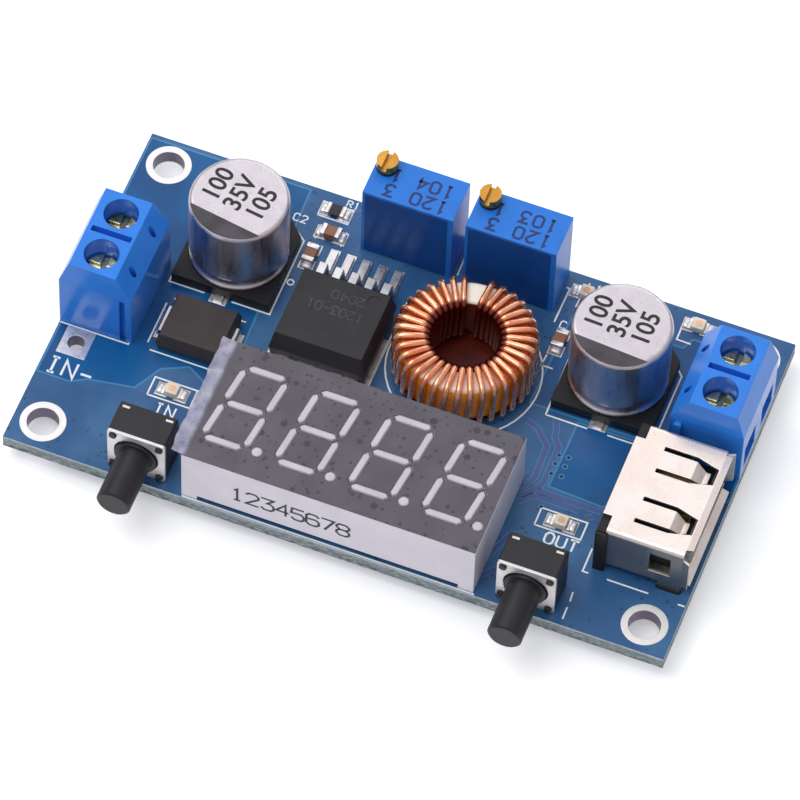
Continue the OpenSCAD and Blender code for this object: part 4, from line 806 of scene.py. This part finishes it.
def segment_pads():
    """Each lit window is a pad that fills its well and rises in a bevel to a level just under the face.
    A pad's outline is drawn in by its level's inset, and leans with the digit."""
    slant = math.tan(math.radians(DIGIT_SLANT))
    height, width = DIGIT_HEIGHT, DIGIT_WIDTH
    pads = []
    levels = [(0.09, -WELL_DEPTH), (0.09, -0.2), (0.12, -0.1), (0.2, -0.03)]
    dot = [(0, -WELL_DEPTH), (0.54, -WELL_DEPTH), (0.54, -0.15), (0.44, -0.05), (0.25, -0.02), (0, -0.01)]
    for k in range(4):
        mid = np.array([display_mid[0] + (k - 1.5) * DIGIT_PITCH, display_mid[1] + 0.17])
        rows = [(0, y * height / 2, 0, width - 0.24) for y in (-1, 0, 1)]
        rows += [(x * width / 2, y * height / 4, 90, height / 2 - 0.48) for x in (-1, 1) for y in (-1, 1)]
        for x, y, turn, length in rows:
            loops = []
            for inset, depth in levels:
                flat = bar_outline(length - 2.4 * inset, BAR_WIDTH - 2 * inset)
                ring = turned(np.column_stack([flat, np.zeros(6)]), x, y, turn)
                ring[:, 0] += ring[:, 1] * slant
                ring[:, :2] += mid
                ring[:, 2] = FACE_TOP + depth
                loops.append(ring)
            pads.append(loft(np.array(loops) + [-0.06, 0.06, 0]))
        profile = [(reach, FACE_TOP + depth) for reach, depth in dot]
        pads.append(lathe(profile, mid[0] + 2.85, mid[1] - 4.2, 24))
    return gather(pads)


windows = piece("segment_windows", segment_pads(), SEGMENT, smooth=25)
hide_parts("display_segments")


def film_sheet():
    """A thin sheet over the face. Left of the housing it curls up with the square of the distance,
    its free edge wanders a little, and small waves run along it. Its points are closer together
    towards that edge, by a power of the parameter."""
    low, high = span("display_film")
    u, v = np.meshgrid(np.linspace(0, 1, 60), np.linspace(0, 1, 70), indexing="ij")
    y = low[1] + (high[1] - low[1]) * v
    ragged = 0.1 * np.sin(1.1 * y + 1) * np.sin(0.43 * y) + 0.03 * np.sin(3.7 * y + 0.6)
    left = low[0] + 0.15 + ragged
    x = left + (high[0] - left) * u**1.8
    over = np.clip((display_low[0] + 0.4 - x) / 1.7, 0, 1)
    z = low[2] + 0.005 + 0.25 * over**2 + 0.015 * over * np.sin(4.1 * y + 2 * x)
    return sheet(np.stack([x, y, z + 0.05], axis=-1), np.stack([x, y, z], axis=-1))


film = piece("clear_film_sheet", film_sheet(), FILM, smooth=60)
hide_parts("display_film")


# ---------- copper, print and solder on the board ----------
def plate(outline, low, high):
    """A flat sheet with the given outline."""
    p = np.asarray(outline, float)
    return loft([np.column_stack([p, np.full(len(p), z)]) for z in (low, high)])


def hole_path(x, y, r):
    """Once round a hole, clockwise from its left side, stopping just short of the start."""
    a = math.pi - np.linspace(0.01, 2 * math.pi - 0.01, 28)
    return [(x + r * math.cos(t), y + r * math.sin(t)) for t in a]


SPARE_HOLE = (-31.7, -6.7, 0.85)
MOUNTING_HOLES = [(x, y, 1.6) for x in (-31.2, 31.2) for y in (-16.4, 16.4)]
INPUT_POUR = [(-34.05, -11.1), (-30.6, -11.1), (-29.0, -10.2), (-24.4, -9.4), (-23.65, -8.0), (-22.85, -6.47),
              (-20.3, -5.2), (-18.5, -6.2), (-16.7, -7.15), (-16.2, -5.6), (-16.2, -4.9), (-16.9, 18.9),
              (-34.05, 18.9)]
CORNER_CUT = [(-34.05, 16.41), *hole_path(-31.2, 16.4, 1.9), (-34.05, 16.39)]
SPARE_CUT = [(-34.05, -6.69), *hole_path(SPARE_HOLE[0], SPARE_HOLE[1], 1.25), (-34.05, -6.71)]
OUTPUT_POUR = [(12.2, 3.3), (25.2, 3.3), (26.2, -0.4), (34.05, -0.4), (34.05, 14.0), (28.6, 14.2),
               (27.2, 16.2), (24.6, 16.2), (24.0, 14.9), (12.6, 14.9)]
VIA_POUR = [(17.35, 2.9), (17.35, -0.3), (17.2, -5.1), (22.9, -5.4), (24.3, -4.2), (24.3, 2.9)]
TRACES = [
    [(12.6, 1.3), (14.0, 0.75), (14.81, -0.17), (15.49, -0.75), (15.62, -4.57), (15.17, -5.67),
     (14.2, -6.32)],
    [(15.2, 2.6), (15.66, 1.41), (15.84, 0.45), (16.62, -0.54), (16.62, -4.92), (16.0, -6.05),
     (15.0, -7.06)],
    [(16.41, -5.95), (20.6, -5.95), (23.04, -6.0)],
    [(15.04, -7.86), (16.09, -6.75), (16.69, -6.6), (20.97, -6.65)],
    [(14.6, -17.0), (16.4, -15.1)], [(14.1, -15.7), (15.7, -11.6), (16.8, -11.1)],
    [(-10.8, 18.6), (-12.0, 17.4)], [(22.5, -6.7), (21.8, -7.2)],
]
UNDER = TOP - 0.02
pours = (INPUT_POUR + CORNER_CUT + SPARE_CUT, OUTPUT_POUR, VIA_POUR)
piece("copper_pours", gather([plate(p, UNDER, TOP + 0.008) for p in pours]), MASK_COPPER)
edges = [strip(p, 0.22, UNDER, TOP + 0.011, closed=True) for p in (INPUT_POUR, OUTPUT_POUR, VIA_POUR)]
edges += [strip(p, 0.72, UNDER, TOP + 0.011) for p in TRACES]
piece("copper_edges", gather(edges), MASK_RIM)
piece("copper_traces", gather([strip(p, 0.5, UNDER, TOP + 0.014) for p in TRACES]), MASK_TRACE)


def ring(profile, x, y, steps):
    """A closed profile of (radius, height) rows turned about a vertical axis at x, y."""
    r, z = np.array(profile, float).T
    a = np.linspace(0, 2 * math.pi, steps, endpoint=False)[:, None]
    return loft(np.stack([x + r * np.cos(a), y + r * np.sin(a), z + 0 * a], axis=-1), closed=True)


def washer(x, y, inner, outer, low, high, steps):
    """A flat ring of rectangular section."""
    return ring([(inner, low), (outer, low), (outer, high), (inner, high)], x, y, steps)


VIAS = [(16.94, -1.35), (17.91, -1.3), (16.93, -2.42), (17.94, -2.4), (16.95, -3.63), (18.0, -3.59),
        (15.91, -13.56), (17.37, -7.55), (13.3, -9.4), (-16.2, -9.8), (-24.6, -13.2), (16.25, -14.57)]
VIA_R = 0.17
rims = [washer(x, y, 0.14, 0.32, TOP - 0.01, TOP + 0.017, 24) for x, y in VIAS]
piece("via_rims", gather(rims), MASK_RIM)
# Painted shade: a black disc in each via stands for the shade inside the hole.
drop = [(0, TOP - 0.01), (VIA_R, TOP - 0.01), (VIA_R, TOP + 0.02), (0, TOP + 0.021)]
piece("via_hole_shade_discs", gather([lathe(drop, x, y, 14) for x, y in VIAS]), SEAL)
barrels = [washer(x, y, r - 0.03, r + 0.004, 0.02, TOP - 0.005, 40)
           for x, y, r in MOUNTING_HOLES + [SPARE_HOLE]]
piece("hole_barrels", gather(barrels), BARREL)
SILK_W = 0.17


def box_path(x0, y0, x1, y1):
    """Once round a rectangle."""
    return [(x0, y0), (x1, y0), (x1, y1), (x0, y1), (x0, y0)]


def arc_path(x, y, r, start, end, steps=40):
    """Part of a circle, between two directions in degrees."""
    a = np.radians(np.linspace(start, end, steps))
    return np.column_stack([x + r * np.cos(a), y + r * np.sin(a)])


reg_low, reg_high = span("regulator_body")
SILK_LINES = [
    box_path(-22.98, -9.68, -18.5, -7.5), box_path(17.45, -9.7, 22.2, -7.64),
    [(23.6, -10.2), (23.6, -12.94), (24.2, -12.94)], [(26.1, -12.96), (30.35, -12.97)],
    [(33.4, -13.07), (34.1, -13.07)], [(-17.4, 14.55), (-15.3, 12.9), (-15.27, 3.46), (-19.3, 3.46)],
    [(-22.2, 3.46), (-25.95, 3.47), (-26.0, 14.3), (-24.2, 14.5)],
    [(14.1, 2.57), (18.45, 2.54)], [(20.52, 2.54), (23.4, 2.54), (24.97, 4.2), (24.99, 11.69), (23.3, 13.53)],
    [(14.1, 2.57), (13.9, 14.3), (16.0, 14.3)],
    [(12.97, 12.34), (11.77, 12.29), (11.77, 10.6)], [(11.8, 9.2), (11.68, 7.84), (12.9, 7.84)],
    [(24.55, 15.6), (23.06, 15.64), (23.05, 17.53), (23.66, 17.6)],
    [(12.5, 15.53), (12.55, 17.42), (13.16, 17.5)],
    [(11.13, 13.08), (11.22, 17.35), (10.86, 17.38)],
    [(-8.9, 14.5), (-0.9, 14.45)], [(0.3, 14.7), (0.2, 18.2)], [(0.3, 13.75), (7.7, 13.75)],
    [(-3.26, -0.5), (-3.14, 10.1)], [(-3.14, 14.4), (-3.6, 14.4)],
    box_path(-15.2, 16.35, -12.0, 18.1), [(-14.4, 15.4), (-14.4, 13.6)], [(-11.7, 15.4), (-11.7, 13.6)],
    [(-24.7, -4.75), (-17.1, -4.75)], [(-24.7, 1.75), (-17.1, 1.75)], [(-25.2, -4.0), (-25.2, 1.0)],
    [(-34.1, -4.95), (-26.9, -4.95), (-26.9, 5.6)], [(26.9, 2.5), (26.9, 12.9)],
    arc_path(coil_x, coil_y, 7.75, -70, 250), arc_path(-14.75, 7.8, 0.32, 0, 350, 18),
    [(-14.7, -4.75), (-16.1, -4.75)], [(-15.5, -19.28), (14.8, -19.28)],
    [(23.55, -15.5), (23.65, -16.6)], [(23.62, -17.3), (23.65, -18.7)],
]
silk_parts = [strip(np.array(p, float), SILK_W, TOP - 0.01, PRINT) for p in SILK_LINES]
SILK_WORDS = [
    ("IN-", -33.4, -10.75, 1.8, 0.26), ("IN", -21.7, -11.45, 1.25, 0.2), ("OUT", 18.9, -11.3, 1.3, 0.22),
    ("C", 11.8, 12.65, 0.85, 0.15), ("L1", 12.85, 17.9, 0.8, 0.15), ("L2", 23.75, 17.9, 0.85, 0.15),
    ("R1", -12.9, 18.35, 0.75, 0.13), ("C2", -17.3, 14.9, 0.85, 0.15),
]
silk_parts += [lettering(text, x, y, height, 0, line, TOP - 0.01, PRINT + 0.002 - TOP + 0.01, 1.42)
               for text, x, y, height, line in SILK_WORDS]
piece("silk_print", gather(silk_parts), SILK)


def islands(node):
    """The separate solids of a CAD node, each as its lowest and highest corner in millimetres."""
    mesh = NODES[node].data
    bm = bmesh.new()
    bm.from_mesh(mesh)
    bmesh.ops.remove_doubles(bm, verts=bm.verts, dist=1e-6)
    left = set(bm.verts)
    out = []
    while left:
        heap = [left.pop()]
        seen = []
        while heap:
            v = heap.pop()
            seen.append(v)
            for e in v.link_edges:
                o = e.other_vert(v)
                if o in left:
                    left.remove(o)
                    heap.append(o)
        p = np.array([v.co for v in seen]) / MM
        out.append((p.min(axis=0), p.max(axis=0)))
    bm.free()
    return sorted(out, key=lambda box: (box[0][2] < 0, *box[0]))


def chip_ends(node):
    """Both ends of each chip of a node: its corners, which axis is its longer one, and the side."""
    for low, high in islands(node):
        size = high - low
        along = 0 if size[0] >= size[1] else 1
        for side in (-1, 1):
            yield low, high, along, side


def end_caps(node, cap):
    """Tinned caps round both ends of each chip of a node."""
    out = []
    for low, high, along, side in chip_ends(node):
        size = high - low
        mid = (low + high) / 2
        mid[along] += side * (size[along] - cap) / 2
        l, w = (cap + 0.03, size[1] + 0.05) if along == 0 else (size[0] + 0.05, cap + 0.03)
        under = high[2] < 0.5
        base = low[2] - 0.02 if under else low[2]
        out.append(brick(mid[0], mid[1], base, (l, w, size[2] + 0.02), edge=0.05, corner=0.08))
    return gather(out)


caps = gather([end_caps("chip_resistors", 0.42), end_caps("chip_capacitors", 0.46)])
piece("chip_end_caps", caps, TIN, smooth=50)


def pad_solder():
    """A soft drop of solder at the outer ends of every surface part on top of the board."""
    out = []
    for node in ("chip_resistors", "chip_capacitors", "status_lamps"):
        for low, high, along, side in chip_ends(node):
            if high[2] < 0.5:
                continue
            size = high - low
            mid = (low + high) / 2
            mid[along] += side * (size[along] / 2 + 0.2)
            l, w = (0.75, size[1] * 1.05) if along == 0 else (size[0] * 1.05, 0.75)
            out.append(mound(mid[0], mid[1], TOP + 0.03, (l, w, 0.38)))
    return gather(out)


piece("pad_solder", pad_solder(), SOLDER, smooth=60)


# ---------- printing on the parts ----------
def can_print(side, chord_start, chord_end, turn):
    """What a can's top shows: the dark segment that marks its negative side, an arc near the rim
    closed by a chord, its figures, and the rolled bead at its foot."""
    low, high = span(f"{side}_capacitor_can")
    x, y = (low[0] + high[0]) / 2, (low[1] + high[1]) / 2
    radius = (high[0] - low[0]) / 2
    outline = arc_path(x, y, radius - 0.18, chord_start, chord_end, 48)
    segment = plate(outline, high[2] - 0.01, high[2] + 0.006)
    piece(f"{side}_can_segment", segment, CAN_INK)
    edge = arc_path(x, y, radius - 0.16, chord_start - 0.4, chord_end + 0.4, 48)
    piece(f"{side}_can_segment_edge", plate(edge, high[2] - 0.01, high[2] + 0.003), INK)
    a = math.radians(turn)
    across, up = np.array([math.cos(a), math.sin(a), 0]), np.array([-math.sin(a), math.cos(a), 0])
    middle = np.array([x, y, high[2]]) + up * 0.7
    rows = [(text, middle + across * offset, 1.95, up, -across)
            for text, offset in (("100", -2.75), ("35V", -0.3), ("105", 2.15))]
    printed_words(f"{side}_can_numbers", rows, INK, 0.018)
    bead = [(radius - 0.22 + BEAD_R * math.cos(t), low[2] + BEAD_R + BEAD_R * math.sin(t))
            for t in np.radians(np.arange(0, 360, 30))]
    piece(f"{side}_can_bead", ring(bead, x, y, 60), CAN_BEAD, smooth=60)


BEAD_R = 0.26
can_print("input", 207.7, 314.8, -8.3)
can_print("output", 213.6, 319.2, -2.3)


def trimmer_print(kind, top_rows):
    """Two rows of figures on a trimmer's top, readable from behind, and a darker navy sheet on its front,
    partly darker plastic and partly painted shade.
    """
    low, high = span(f"{kind}_trimmer_housing")
    x, y, z = high - [1.2, 1.1, 0.01]
    rows = [lettering(text, x, y - 1.95 * k, 1.35, 180, 0.27, z, 0.018, 1.5)
            for k, text in enumerate(top_rows)]
    piece(f"{kind}_trimmer_figures", gather(rows), NAVY_INK)
    # Partly darker plastic, partly painted shade: a darker navy sheet on the trimmer's front face.
    left, right, behind, before = low[0] + 0.3, high[0] - 0.55, low[1] + 0.03, low[1] - 0.012
    panel = [(left, behind), (left, before), (right, before), (right, behind)]
    piece(f"{kind}_trimmer_panel", plate(panel, low[2] + 0.25, high[2] - 0.4), PANEL)


trimmer_print("voltage", ("104 1", "120 3"))
trimmer_print("current", ("103 1", "120 3"))


def wall_row(text, x, y, z, height, line, spacing):
    """A row of figures on a wall that faces -Y: a level row, stood up."""
    points, faces = lettering(text, 0, 0, height, 0, line, 0, 0.02, spacing)
    return np.column_stack([points[:, 0] + x, y + 0.004 - points[:, 2], points[:, 1] + z]), faces


wall_figures = wall_row("12345678", -10.4, display_low[1], 4.0, 1.95, 0.25, 1.2)
piece("display_wall_figures", wall_figures, INK)
reg_mid = (reg_low + reg_high) / 2
marks = [lettering(text, reg_mid[0] + x, reg_mid[1] + y, 0.95, 180, 0.09, reg_high[2] - 0.01, 0.012, spacing)
         for text, x, y, spacing in (("2040", 2.4, 2.7, 1.4), ("1203-01", 2.9, 0.9, 1.35))]
piece("regulator_marks", gather(marks), ETCH)


# ---------- lamps, display foot, outlet flank and coil bore ----------
def lamp_parts():
    """Each lamp's tinned ends, its lens, and the small amber die that shows through the lens."""
    ends, dies, lenses = [], [], []
    for low, high in islands("status_lamps"):
        x, y = (low[:2] + high[:2]) / 2
        l, w, h = high - low
        for side in (-1, 1):
            ends.append(brick(x + side * (l / 2 - 0.16), y, low[2], (0.36, w + 0.03, 0.36),
                              edge=0.05, corner=0.06))
        dies.append(brick(x, y, high[2] - 0.03, (0.75, 0.75, 0.06), edge=0.02, corner=0.3))
        lenses.append(brick(x, y, low[2], (1.3, w + 0.04, h + 0.02), edge=0.08, corner=0.1))
    return gather(ends), gather(dies), gather(lenses)


lamp_ends, lamp_dies, lamp_lenses = lamp_parts()
piece("lamp_end_caps", lamp_ends, TIN, smooth=50)
piece("lamp_dies", lamp_dies, LAMP_DIE, smooth=50)
piece("lamp_lenses", lamp_lenses, LAMP, smooth=50)
# Painted shade: a black strip under the display's notch stands for the shadow below its front wall.
foot_front, foot_back = display_low[1] + 0.35, display_low[1] + 0.5
foot = [(-13.0, foot_front), (12.4, foot_front), (12.4, foot_back), (-13.0, foot_back)]
piece("display_foot_shadow_strip", plate(foot, TOP, TOP + 1.2), SEAL)
usb_low, usb_high = span("usb_shell")
FLANK_LENGTH = 1.15
flank = brick((usb_low[0] + FLANK_LENGTH + usb_low[0]) / 2, usb_low[1] + 0.02, TOP,
              (FLANK_LENGTH, 0.3, usb_high[2] - TOP - 0.55), edge=0.05, corner=0.05)
piece("usb_insulator_flank", flank, BLACK)
# Painted shade: a dark brown disc on the board under the coil stands for the shadow in its bore.
SHADE_DISC_R = 5.6
shade_disc = [(0, TOP), (SHADE_DISC_R, TOP), (SHADE_DISC_R, TOP + 0.06), (0, TOP + 0.07)]
piece("coil_bore_shade_disc", lathe(shade_disc, coil_x, coil_y, 40), BORE_SHADE)


# ---------- floor, light and camera ----------
STAND_Z = cad_box[0][2]
FLOOR_HALF = 2


def white_floor():
    """A matt white floor. To the camera, and in metal and glass, it glows a little, which keeps it
    white without taking the shadow under the board away. From below it is clear."""
    f = Finish("floor_white", Roughness=0.9, Specular_IOR_Level=0.1)
    t = f.tree
    f.shader.inputs["Base Color"].default_value = (0.9, 0.9, 0.91, 1)
    ray = add(t, "LightPath").outputs
    in_metal_or_glass = maths(t, "MAXIMUM", ray["Is Glossy Ray"], ray["Is Transmission Ray"])
    seen = maths(t, "MAXIMUM", ray["Is Camera Ray"], in_metal_or_glass)
    f.shader.inputs["Emission Color"].default_value = (1, 1, 1, 1)
    f.link(maths(t, "MULTIPLY", seen, 0.32), "Emission Strength")
    under = add(t, "NewGeometry").outputs["Backfacing"]
    clear = add(t, "BsdfTransparent").outputs[0]
    both = add(t, "MixShader", {0: under, 1: f.shader.outputs[0], 2: clear}).outputs[0]
    t.links.new(both, f.out.inputs["Surface"])
    return f.material


floor_mesh = bpy.data.meshes.new("floor")
corners = [(x * FLOOR_HALF, y * FLOOR_HALF, STAND_Z) for x, y in ((-1, -1), (1, -1), (1, 1), (-1, 1))]
floor_mesh.from_pydata(corners, [], [(0, 1, 2, 3)])
floor_mesh.materials.append(white_floor())
floor = put("floor", floor_mesh)


def lamp(name, place_mm, size_mm, power):
    """A square soft light aimed at the board."""
    data = bpy.data.lights.new(name, "AREA")
    data.shape = "SQUARE"
    data.size = size_mm * MM
    data.energy = power
    o = put(name, data)
    at = Vector(place_mm) * MM
    o.location = at
    o.rotation_euler = (-at).to_track_quat("-Z", "Y").to_euler()


lamp("key_softbox", (-170, -130, 560), 420, 1.45)
lamp("back_softbox", (-60, 420, 330), 300, 0.4)
lamp("sheen_softbox", (-330, 170, 560), 280, 0.5)

world = bpy.data.worlds.new("studio")
world.use_nodes = True
sky = world.node_tree
backdrop = sky.nodes["Background"]
upward = add(sky, "SeparateXYZ", {0: add(sky, "TexCoord").outputs["Generated"]}).outputs[2]
dome = add(sky, "MapRange", {0: upward, 1: 0.05, 2: 0.85, 3: 0.32, 4: 0.64},
           interpolation_type="SMOOTHSTEP")
sky.links.new(dome.outputs[0], backdrop.inputs["Strength"])
backdrop.inputs["Color"].default_value = (0.98, 0.98, 1.0, 1)
bpy.context.scene.world = world

AZIMUTH, ELEVATION, ROLL, DISTANCE = 0.32734, 0.99639, 0.04413, 657.65
back = Vector((math.sin(AZIMUTH) * math.cos(ELEVATION), -math.cos(AZIMUTH) * math.cos(ELEVATION),
               math.sin(ELEVATION)))
right = Vector((math.cos(AZIMUTH), math.sin(AZIMUTH), 0))
up = back.cross(right)
right_turned = right * math.cos(ROLL) + up * math.sin(ROLL)
up_turned = up * math.cos(ROLL) - right * math.sin(ROLL)
camera_data = bpy.data.cameras.new("view")
camera_data.lens = 302.0
camera_data.sensor_width = 36.0
camera_data.shift_x = -0.00205375
camera_data.shift_y = -0.01227375
camera_data.clip_start = 0.05
camera_data.clip_end = 10
camera = put("view", camera_data)
camera.matrix_world = Matrix((
    (right_turned.x, up_turned.x, back.x, back.x * DISTANCE * MM),
    (right_turned.y, up_turned.y, back.y, back.y * DISTANCE * MM),
    (right_turned.z, up_turned.z, back.z, (back.z * DISTANCE + 1.6) * MM),
    (0, 0, 0, 1)))
bpy.context.scene.camera = camera
bpy.context.scene.view_settings.view_transform = "Standard"
